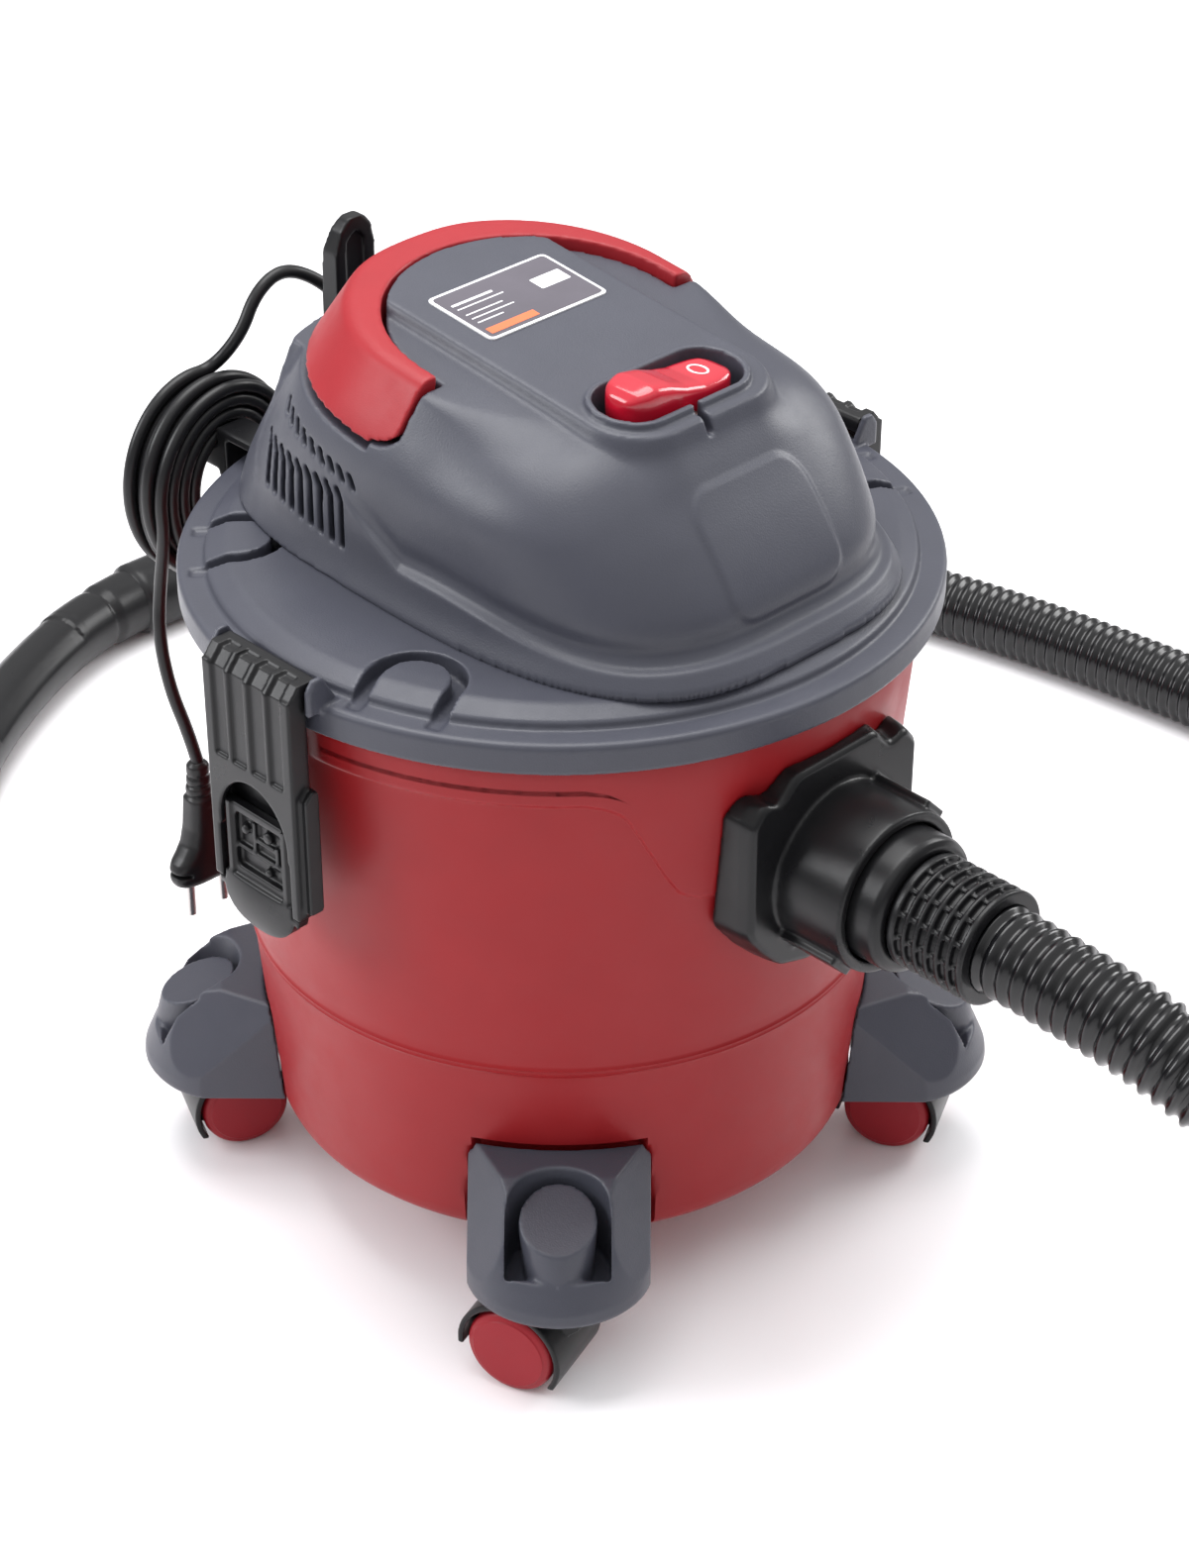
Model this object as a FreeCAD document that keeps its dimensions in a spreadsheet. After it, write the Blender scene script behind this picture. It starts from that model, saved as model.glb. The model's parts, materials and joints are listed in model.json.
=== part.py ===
import FreeCAD, Part
import math
import os
import re
import Sketcher
from FreeCAD import Placement, Rotation, Vector

# Wet-and-dry shop vacuum: a tapered drum on four twin-wheel casters, a lift-off motor head
# held by two latches, a folding carry handle, a rocker switch, a suction hose and a mains cord.
# Millimetres, +Z up. The origin is on the floor under the drum's axis; the hose inlet faces -Y,
# the latches are at -X and +X, and the cord hooks are at +Y.

doc = FreeCAD.newDocument("ShopVacuum")
sheet = doc.addObject("Spreadsheet::Sheet", "Dims")

DIMENSIONS = {
    # drum
    "drumBase": 43.0, "drumTop": 303.0, "drumBaseRadius": 130.0, "drumTopRadius": 151.5,
    "drumWall": 2.5, "rimHeight": 6.0, "rimWidth": 3.0, "beadHeight": 138.5, "beadSize": 1.2,
    # feet and casters
    "postRadius": 166.0, "footTop": 96.0, "footBase": 45.5, "footHalfWidth": 37.0,
    "footTip": 192.0, "footSlot": 22.5, "bossRadius": 17.0, "bossTop": 85.0,
    "wheelRadius": 20.0, "wheelWidth": 14.0, "wheelGap": 12.0, "trail": 14.0,
    "axleRadius": 2.5, "stemRadius": 4.0, "running": 0.05,
    # inlet and hose end
    "inletHeight": 227.0, "boxFace": 157.0, "collarRadius": 35.0, "collarFace": 184.0,
    "inletBore": 21.0, "ringRadius": 29.5, "ringFace": 205.0, "cuffRadius": 24.5,
    "cuffFace": 244.0, "hoseDiameter": 38.0,
    # lid and dome
    "lidRadius": 160.0, "lidSkirt": 297.5, "lidEdge": 310.5, "lidTop": 318.0,
    "lidWall": 3.0, "motorHole": 74.0, "domeHalfWidth": 98.0, "domeLength": 141.0,
    "domeWall": 3.0, "roofHeight": 410.0, "roofSlope": 6.5,
    # carry handle
    "handlePivotY": 14.0, "handlePivotZ": 401.0, "handleNose": 13.0, "handleInner": 66.5,
    "handleGap": 3.5, "handleDrop": 19.0, "handlePin": 3.0,
    # switch
    "rockerY": -64.0, "rockerZ": 393.0, "rockerLength": 76.0, "rockerWidth": 27.0,
    "wellLength": 92.0, "wellWidth": 38.0,
    # latches
    "latchPivot": 157.5, "latchPivotZ": 318.0, "latchFace": 172.0, "latchHalfWidth": 26.0,
    "tonguePivotZ": 250.0,
    # power cord
    "cordDiameter": 6.0, "coilX": -43.0, "coilY": 176.0, "coilZ": 291.0,
}
for row, (alias, value) in enumerate(DIMENSIONS.items(), 1):
    sheet.set("A%d" % row, alias)
    sheet.set("B%d" % row, "%g" % value)
    sheet.setAlias("B%d" % row, alias)
doc.recompute()

PARTS = []


def dim(alias):
    """A driving dimension, read from the sheet."""
    return float(sheet.get(alias))


def bound(text):
    """An expression with every alias of the sheet in it turned into a reference."""
    return re.sub(r"[A-Za-z]\w+", lambda m: "Dims." + m.group(0)
                  if m.group(0) in DIMENSIONS else m.group(0), str(text))


def bind(obj, **sizes):
    """Bind the sizes of an object to expressions; underscores in the name stand for dots."""
    for name, text in sizes.items():
        obj.setExpression(name.replace("_", "."), bound(text))
    return obj


def keep(obj, node):
    """Register a finished sub-part under its node name."""
    obj.Label = node
    PARTS.append(obj)
    return obj


def rod(name, radius, length, **place):
    """A cylinder whose radius, length and place are expressions."""
    obj = doc.addObject("Part::Cylinder", name)
    bind(obj, Radius=radius, Height=length)
    return move(obj, **place)


def block(name, length, width, height, **place):
    """A box whose sides and place are expressions."""
    obj = doc.addObject("Part::Box", name)
    bind(obj, Length=length, Width=width, Height=height)
    return move(obj, **place)


def move(obj, x=None, y=None, z=None, turn=None):
    """Bind an object's place to expressions; turn is (axis, degrees)."""
    if turn:
        obj.Placement = Placement(Vector(0, 0, 0), Rotation(Vector(*turn[0]), turn[1]))
    for axis, text in (("x", x), ("y", y), ("z", z)):
        if text is not None:
            obj.setExpression("Placement.Base." + axis, bound(text))
    return obj


def fuse(name, *parts):
    obj = doc.addObject("Part::MultiFuse", name)
    obj.Shapes = list(parts)
    return obj


def cut(name, base, *tools):
    """The base less every tool."""
    for number, tool in enumerate(tools):
        obj = doc.addObject("Part::Cut", "%s_%d" % (name, number))
        obj.Base = base
        obj.Tool = tool
        base = obj
    return base


def common(name, *parts):
    obj = doc.addObject("Part::MultiCommon", name)
    obj.Shapes = list(parts)
    return obj


def shape_part(name, shape):
    """A Part::Feature for a shape made in code, with sizes read from the sheet."""
    obj = doc.addObject("Part::Feature", name)
    obj.Shape = shape
    return obj


def outline(sketch, corners):
    """A closed polygon whose corners are pairs of expressions from the sketch's origin."""
    rough = [Vector(10 + 3 * i, (i * i) % 7 + 2 * i, 0) for i in range(len(corners))]
    for i in range(len(corners)):
        sketch.addGeometry(Part.LineSegment(rough[i], rough[(i + 1) % len(corners)]), False)
    for i in range(len(corners)):
        from_edge = (i, 2, (i + 1) % len(corners), 1)
        sketch.addConstraint(Sketcher.Constraint("Coincident", *from_edge))
    for i, (across, up) in enumerate(corners):
        for kind, text in (("DistanceX", across), ("DistanceY", up)):
            number = sketch.addConstraint(Sketcher.Constraint(kind, i, 1, 1.0))
            sketch.setExpression("Constraints[%d]" % number, bound(text))


def body_sketch(name, plane, corners):
    """A PartDesign body with one sketch on one of its origin planes."""
    body = doc.addObject("PartDesign::Body", name)
    sketch = body.newObject("Sketcher::SketchObject", name + "Sketch")
    base = [f for f in body.Origin.OriginFeatures if f.Role == plane][0]
    sketch.AttachmentSupport = [(base, "")]
    sketch.MapMode = "FlatFace"
    outline(sketch, corners)
    return body, sketch


def turned(name, corners):
    """A body of revolution about Z from a profile of (radius, height) expressions."""
    body, sketch = body_sketch(name, "XZ_Plane", corners)
    turn = body.newObject("PartDesign::Revolution", name + "Turn")
    turn.Profile = sketch
    turn.ReferenceAxis = (sketch, ["V_Axis"])
    turn.Angle = 360.0
    return body


def padded(name, plane, corners, length, midplane=True):
    """A body extruded from a polygon of expressions."""
    body, sketch = body_sketch(name, plane, corners)
    pad = body.newObject("PartDesign::Pad", name + "Pad")
    pad.Profile = sketch
    pad.Midplane = midplane
    pad.setExpression("Length", bound(length))
    return body


def placed(node, source, position, axis=(0, 0, 1), degrees=0.0):
    """A copy of a shape at a place of its own."""
    obj = doc.addObject("Part::Feature", node)
    obj.Shape = source
    moved = Placement(Vector(*position), Rotation(Vector(*axis), degrees))
    obj.Placement = moved.multiply(source.Placement)
    return keep(obj, node)


def turn_z(shape, degrees):
    """A shape turned about the drum's axis."""
    copy = shape.copy()
    copy.rotate(Vector(0, 0, 0), Vector(0, 0, 1), degrees)
    return copy


# ---------------------------------------------------------------- drum
def drum_radius(height):
    """The drum's outer radius at a height."""
    share = (height - dim("drumBase")) / (dim("drumTop") - dim("drumBase"))
    return dim("drumBaseRadius") + share * (dim("drumTopRadius") - dim("drumBaseRadius"))


def make_drum():
    slope = "(drumTopRadius - drumBaseRadius) / (drumTop - drumBase)"
    bead = "drumBaseRadius + (beadHeight - drumBase) * %s" % slope
    shell = turned("DrumShell", [
        ("0", "drumBase"),
        ("drumBaseRadius - 6", "drumBase"),
        ("drumBaseRadius", "drumBase + 6"),
        (bead, "beadHeight - 2"),
        (bead + " + beadSize", "beadHeight"),
        (bead, "beadHeight + 2"),
        ("drumTopRadius - 0.5", "drumTop - rimHeight"),
        ("drumTopRadius + rimWidth", "drumTop - rimHeight + 2"),
        ("drumTopRadius + rimWidth", "drumTop"),
        ("drumTopRadius - drumWall", "drumTop"),
        ("drumBaseRadius - drumWall", "drumBase + 7"),
        ("drumBaseRadius - drumWall - 5", "drumBase + drumWall"),
        ("0", "drumBase + drumWall"),
    ])
    mouth = rod("DrumMouth", "inletBore + 2", "60", x="0", y="-120", z="inletHeight",
                turn=((1, 0, 0), 90))
    keep(cut("Drum", shell, mouth), "drum")


# ---------------------------------------------------------------- feet and casters
CASTERS = {"front_left": (225.0, -72.0), "front_right": (315.0, -63.0),
           "rear_left": (135.0, 156.0), "rear_right": (45.0, 100.0)}


def foot_shape():
    """One moulded foot, made pointing along +X from the drum's axis."""
    width = dim("footHalfWidth")
    tip = dim("footTip")
    base = dim("footBase")
    post = dim("postRadius")
    side = Part.makePolygon([
        Vector(122, 0, base), Vector(tip - 2, 0, base), Vector(tip, 0, base + 5),
        Vector(tip - 6, 0, base + 18), Vector(tip - 20, 0, base + 22),
        Vector(152, 0, dim("footTop")), Vector(122, 0, dim("footTop")),
        Vector(122, 0, base)])
    solid = Part.Face(side).extrude(Vector(0, 2 * width, 0))
    solid.translate(Vector(0, -width, 0))
    round_nose = 39.5
    nose = Part.makeCylinder(round_nose, 80, Vector(tip - round_nose, 0, base - 5))
    flank = Part.makeBox(tip - round_nose - 118, 2 * width, 80, Vector(118, -width, base - 5))
    solid = solid.common(nose.fuse(flank))
    floor = base + 10
    slot = Part.makeCylinder(dim("footSlot"), 60, Vector(post, 0, floor))
    mouth = Part.makeBox(16, 2 * dim("footSlot"), 60, Vector(post, -dim("footSlot"), floor))
    solid = solid.cut(slot.fuse(mouth))
    boss = Part.makeCylinder(dim("bossRadius"), dim("bossTop") - base, Vector(post, 0, base))
    solid = solid.fuse(boss)
    keep_out = Part.makeCone(drum_radius(20) + 0.3, drum_radius(120) + 0.3, 100,
                             Vector(0, 0, 20))
    solid = solid.cut(keep_out)
    hole = Part.makeCylinder(dim("stemRadius"), 28, Vector(post, 0, base - 1))
    return solid.cut(hole)


def caster_shapes():
    """The pieces of one twin-wheel caster; its stem stands on Z and it trails along -X."""
    wheel = dim("wheelRadius")
    trail = dim("trail")
    half = dim("wheelGap") / 2 + dim("wheelWidth")
    axle_at = Vector(-trail, 0, wheel)
    along = Vector(0, 1, 0)
    reach = wheel + 3.5
    cover = Part.makeCylinder(reach, 2 * half - 1, axle_at - along * (half - 0.5), along)
    inner = Part.makeCylinder(wheel + 1.5, 2 * half + 2, axle_at - along * (half + 1), along)
    fender = cover.cut(inner)
    away = Part.makeBox(80, 80, 80, Vector(-trail - 80 - 6, -40, wheel - 80))
    below = Part.makeBox(120, 80, 40, Vector(-60, -40, 6 - 40))
    back = Part.makeBox(80, 80, 80, Vector(-trail - 80 - 14, -40, -20))
    fender = fender.cut(away).cut(below).cut(back)
    web = Part.makeCylinder(wheel + 2, dim("wheelGap") - 1,
                            axle_at - along * (dim("wheelGap") / 2 - 0.5), along)
    web = web.cut(Part.makeBox(60, 60, 30, Vector(-trail - 30, -30, -24 + 6)))
    socket = Part.makeCylinder(9, dim("footBase") - 21.5, Vector(0, 0, 21))
    socket = socket.cut(Part.makeCylinder(wheel + 1.5, half - 2.6,
                                          axle_at + along * (dim("wheelGap") / 2 - 0.5), along))
    socket = socket.cut(Part.makeCylinder(wheel + 1.5, half - 2.6,
                                          axle_at - along * (dim("wheelGap") / 2 - 0.5),
                                          Vector(0, -1, 0)))
    hood = fender.fuse(web).fuse(socket).removeSplitter()
    bore = Part.makeCylinder(dim("stemRadius") + dim("running"), 30, Vector(0, 0, 25))
    hood = hood.cut(bore)
    hood = hood.cut(Part.makeCylinder(dim("axleRadius"), 2 * half, axle_at - along * half,
                                      along))
    axle = Part.makeCylinder(dim("axleRadius"), 2 * half - 4, axle_at - along * (half - 2),
                             along)
    shapes = {"hood": hood, "axle": axle}
    for name, side in (("outer", 1), ("inner", -1)):
        start = axle_at + along * side * dim("wheelGap") / 2
        facing = along * side
        rim = Part.makeCylinder(wheel, dim("wheelWidth"), start, facing)
        rim = rim.makeFillet(1.5, rim.Edges[0:1] + rim.Edges[2:3])
        bore = Part.makeCylinder(dim("axleRadius") + dim("running"), dim("wheelWidth") - 2,
                                 start, facing)
        shapes["wheel_" + name] = rim.cut(bore)
    return shapes


def make_casters():
    foot = foot_shape()
    shapes = caster_shapes()
    post = dim("postRadius")
    stem = Part.makeCylinder(dim("stemRadius"), 46, Vector(post, 0, 25.5))
    stems = []
    for corner, (azimuth, heading) in CASTERS.items():
        placed("foot_" + corner, foot, (0, 0, 0), degrees=azimuth)
        stems.append(turn_z(stem, azimuth))
        place = (post * math.cos(math.radians(azimuth)), post * math.sin(math.radians(azimuth)),
                 0)
        placed("caster_hood_" + corner, shapes["hood"], place, degrees=heading)
        placed("caster_axle_" + corner, shapes["axle"], place, degrees=heading)
        for side in ("outer", "inner"):
            placed("wheel_%s_%s" % (corner, side), shapes["wheel_" + side], place,
                   degrees=heading)
    placed("caster_stems", Part.makeCompound(stems), (0, 0, 0))


# ---------------------------------------------------------------- inlet and connector
def along_inlet(name, radius, start, end):
    """A cylinder on the inlet's axis between two distances from the drum's axis."""
    return rod(name, radius, "%s - (%s)" % (end, start), x="0", y="-(%s)" % start,
               z="inletHeight", turn=((1, 0, 0), 90))


def make_inlet():
    plate = padded("InletPlate", "XZ_Plane", [
        ("-50", "inletHeight + 11"), ("-50", "inletHeight - 17"), ("-40", "inletHeight - 30"),
        ("-30", "inletHeight - 40"), ("-14", "inletHeight - 45"), ("14", "inletHeight - 45"),
        ("30", "inletHeight - 40"), ("40", "inletHeight - 30"), ("50", "inletHeight - 17"),
        ("50", "inletHeight + 11"), ("50", "inletHeight + 37"), ("43", "inletHeight + 46"),
        ("34", "inletHeight + 42"), ("24", "inletHeight + 52"), ("-24", "inletHeight + 52"),
        ("-34", "inletHeight + 42"), ("-43", "inletHeight + 46"), ("-50", "inletHeight + 37"),
    ], "2 * boxFace")
    front = block("InletFront", "200", "60", "200", x="-100", y="-boxFace", z="100")
    drum = doc.addObject("Part::Cone", "InletDrum")
    bind(drum, Radius1="drumBaseRadius + 0.3", Radius2="drumTopRadius + 0.3",
         Height="drumTop - drumBase")
    move(drum, z="drumBase")
    collar = along_inlet("InletCollar", "collarRadius", "boxFace - 6", "collarFace")
    bore = along_inlet("InletBore", "inletBore", "100", "collarFace + 1")
    seat = along_inlet("InletSeat", "ringRadius + 0.5", "boxFace + 3", "collarFace + 1")
    spigot = along_inlet("InletSpigot", "inletBore + 1.7", "131", "boxFace")
    shell = cut("InletShell", common("InletBlock", plate, front), drum)
    keep(cut("Inlet", fuse("InletBody", shell, collar, spigot), bore, seat), "inlet_box")
    seal = cut("InletSeal", along_inlet("SealOuter", "inletBore + 5", "boxFace + 3",
                                        "boxFace + 5.5"),
               along_inlet("SealInner", "inletBore", "boxFace + 2", "boxFace + 7"))
    keep(seal, "inlet_seal")
    elbow = padded("Deflector", "YZ_Plane", [
        ("-128", "inletHeight + 30"), ("-100", "inletHeight + 26"),
        ("-88", "inletHeight - 6"), ("-90.5", "inletHeight - 7"),
        ("-102", "inletHeight + 23"), ("-128", "inletHeight + 27"),
    ], "52")
    keep(elbow, "inlet_deflector")
    ring_outer = along_inlet("RingOuter", "ringRadius", "boxFace + 5.5", "ringFace")
    ring_inner = along_inlet("RingInner", "cuffRadius - 1.5", "boxFace + 4", "ringFace + 1")
    keep(cut("Ring", ring_outer, ring_inner), "bayonet_ring")
    cuff = fuse("CuffBody", along_inlet("CuffTail", "cuffRadius", "ringFace + 0.5", "cuffFace"),
                along_inlet("CuffNeck", "cuffRadius - 2", "boxFace + 6", "ringFace + 1"))
    keep(cut("Cuff", cuff, along_inlet("CuffBore", "hoseDiameter / 2 + 0.5 - 1",
                                       "boxFace + 5", "cuffFace + 1")), "hose_cuff")


# ---------------------------------------------------------------- hose and cord routes
HOSE_ROUTE = [(0, -244, 227), (0, -280, 226), (3, -318, 220), (12, -366, 199),
              (32, -418, 157), (66, -466, 103), (118, -505, 53), (186, -527, 25),
              (262, -520, 19), (338, -484, 19), (402, -424, 19), (450, -345, 19),
              (480, -252, 19), (494, -152, 19), (498, -52, 19), (492, 48, 19), (478, 146, 19),
              (452, 240, 19), (414, 324, 19), (362, 398, 19), (304, 452, 19), (254, 481, 20),
              (204, 495, 21)]
HANDLE_ROUTE = [(204, 495, 21), (166, 500, 21), (128, 500, 20.6), (86, 492, 20), (42, 473, 19.2),
                (-2, 448, 18.4), (-44, 416, 17.6), (-80, 380, 17.6)]
CORD_TO_COIL = [(26, 140, 352), (26, 150, 353), (24, 162, 358), (15, 172, 370),
                (0, 176, 377), (-15, 176, 370), (-25, 175, 354), (-30, 175, 341),
                (-33, 175, 334)]
CORD_TO_PLUG = [(-74, 175, 262), (-79, 175, 248), (-83, 173, 226), (-82, 169, 200),
                (-76, 166, 176), (-73, 165, 160)]


def rounded_path(route):
    """Straight runs joined by tangent arcs, each as large as its two runs allow."""
    points = [Vector(*p) for p in route]
    edges = []
    radii = []
    start = points[0]
    for before, corner, after in zip(points, points[1:], points[2:]):
        back = (before - corner).normalize()
        ahead = (after - corner).normalize()
        turn = math.pi - back.getAngle(ahead)
        reach = 0.45 * min((before - corner).Length, (after - corner).Length)
        radius = reach / math.tan(turn / 2)
        arc_start = corner + back * reach
        arc_end = corner + ahead * reach
        middle = (back + ahead).normalize()
        centre = corner + middle * (radius / math.cos(turn / 2))
        arc_middle = centre - middle * radius
        edges.append(Part.LineSegment(start, arc_start).toShape())
        edges.append(Part.Arc(arc_start, arc_middle, arc_end).toShape())
        start = arc_end
        radii.append(radius)
    edges.append(Part.LineSegment(start, points[-1]).toShape())
    return Part.Wire(edges), radii


def tube(route, radius):
    """A round tube along a rounded path."""
    wire, radii = rounded_path(route)
    first = Vector(*route[0])
    heading = Vector(*route[1]) - first
    circle = Part.Wire([Part.makeCircle(radius, first, heading)])
    solid = wire.makePipeShell([circle], True, False)
    expected = math.pi * radius ** 2 * wire.Length
    print("tube: length %.0f volume ratio %.4f radii %s" % (
        wire.Length, solid.Volume / expected, " ".join("%.0f" % r for r in radii)))
    return solid


def make_hose():
    radius = dim("hoseDiameter") / 2
    solid_hose = tube(HOSE_ROUTE, radius)
    hose = solid_hose.cut(tube(HOSE_ROUTE, radius - 2.5))
    placed("hose", hose, (0, 0, 0))
    end = Vector(*HOSE_ROUTE[-1])
    heading = (Vector(*HANDLE_ROUTE[1]) - Vector(*HANDLE_ROUTE[0])).normalize()
    cuff = Part.makeCylinder(radius + 2, 66, end, heading)
    tip = Vector(*HANDLE_ROUTE[-1])
    tip_heading = (tip - Vector(*HANDLE_ROUTE[-2])).normalize()
    outer, inner = radius - 1.5, radius - 4
    handle = tube(HANDLE_ROUTE, outer)
    handle = handle.fuse(Part.makeCylinder(outer, 50, tip, tip_heading)).removeSplitter()
    bore = tube(HANDLE_ROUTE, inner)
    bore_tail = Part.makeCylinder(inner, 52, tip - tip_heading, tip_heading)
    placed("handle_tube", handle.cut(bore).cut(bore_tail).cut(solid_hose), (0, 0, 0))
    placed("hose_end_cuff", cuff.cut(handle).cut(solid_hose), (0, 0, 0))


def coil_shape():
    """The outer shape of the wound cord: an upright oval ring."""
    centre = Vector(dim("coilX"), dim("coilY"), dim("coilZ"))
    shapes = []
    for wide, tall, thick in ((43, 50, 24), (19, 26, 26)):
        ellipse = Part.Ellipse(Vector(0, 0, 0), tall, wide)
        face = Part.Face(Part.Wire(ellipse.toShape()))
        solid = face.extrude(Vector(0, 0, thick))
        solid.translate(Vector(0, 0, -thick / 2))
        solid.rotate(Vector(0, 0, 0), Vector(0, 0, 1), 90)
        solid.rotate(Vector(0, 0, 0), Vector(1, 0, 0), 90)
        solid.translate(centre)
        shapes.append(solid)
    return shapes[0].cut(shapes[1])


def make_cord():
    radius = dim("cordDiameter") / 2
    coil = coil_shape()
    placed("cord_coil", coil, (0, 0, 0))
    lead = tube(CORD_TO_COIL, radius).fuse(tube(CORD_TO_PLUG, radius)).cut(coil)
    placed("power_cord", lead, (0, 0, 0))
    x, y, z = CORD_TO_PLUG[-1]
    relief = Part.makeCone(5.5, 8.0, 20, Vector(x, y, z), Vector(0, 0, -1))
    body = Part.makeBox(22, 17, 26, Vector(x - 11, y - 8.5, z - 45))
    base = Part.makeBox(36, 17, 17, Vector(x - 18, y - 8.5, z - 62))
    body = body.fuse(base)
    body = body.makeFillet(3.0, [e for e in body.Edges if abs(e.tangentAt(0).z) > 0.9])
    plug = relief.fuse(body).removeSplitter()
    for side in (-9.5, 9.5):
        pin = Part.makeCylinder(2.4, 20, Vector(x + side, y, z - 61), Vector(0, 0, -1))
        plug = plug.fuse(pin)
    placed("plug", plug, (0, 0, 0))


# ---------------------------------------------------------------- lid and dome
DOME_LEVELS = [(318, 1.0, 1.0, 1.0), (345, 0.985, 0.905, 0.92), (365, 0.97, 0.80, 0.83),
               (383, 0.945, 0.68, 0.78), (400, 0.90, 0.56, 0.735), (416, 0.80, 0.42, 0.67),
               (436, 0.64, 0.28, 0.58)]
DOME_POWER = 3.2


def dome_section(level, inset):
    """One closed outline of the dome: a rounded box, shorter in front than behind."""
    height, side, front, rear = level
    points = []
    steps = 24
    for i in range(steps):
        angle = 2 * math.pi * i / steps
        across = math.cos(angle)
        ahead = math.sin(angle)
        length = dim("domeLength") * (rear if ahead > 0 else front) - inset
        width = dim("domeHalfWidth") * side - inset
        points.append(Vector(width * math.copysign(abs(across) ** (2 / DOME_POWER), across),
                             length * math.copysign(abs(ahead) ** (2 / DOME_POWER), ahead),
                             height))
    curve = Part.BSplineCurve()
    curve.interpolate(points, PeriodicFlag=True)
    return Part.Wire(curve.toShape())


def dome_block(inset, top_drop=0.0):
    """The dome as a solid, its top cut by a slope that rises towards the rear."""
    sections = [dome_section(level, inset) for level in DOME_LEVELS]
    solid = Part.makeLoft(sections, True, False)
    roof = Part.makeBox(400, 500, 100, Vector(-200, -250, 0))
    roof.rotate(Vector(0, 0, 0), Vector(1, 0, 0), dim("roofSlope"))
    roof.translate(Vector(0, 0, dim("roofHeight") - top_drop))
    return solid.cut(roof)


def handle_zone(inner, drop, nose):
    """The space along the top's rear rim that the folded handle fills."""
    y = dim("handlePivotY")
    z = dim("handlePivotZ")
    slab = Part.makeBox(300, 220, 80, Vector(-150, 0, -drop))
    slab.rotate(Vector(0, 0, 0), Vector(1, 0, 0), dim("roofSlope"))
    slab.translate(Vector(0, y, z))
    ends = Part.makeCylinder(nose, 300, Vector(-150, y, z), Vector(1, 0, 0))
    zone = slab.fuse(ends)
    core_y = y - 6
    core = Part.makeCylinder(inner, 200, Vector(0, core_y, 330))
    front = Part.makeBox(2 * inner, 60, 200, Vector(-inner, core_y - 60, 330))
    return zone.cut(core).cut(front)


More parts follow.
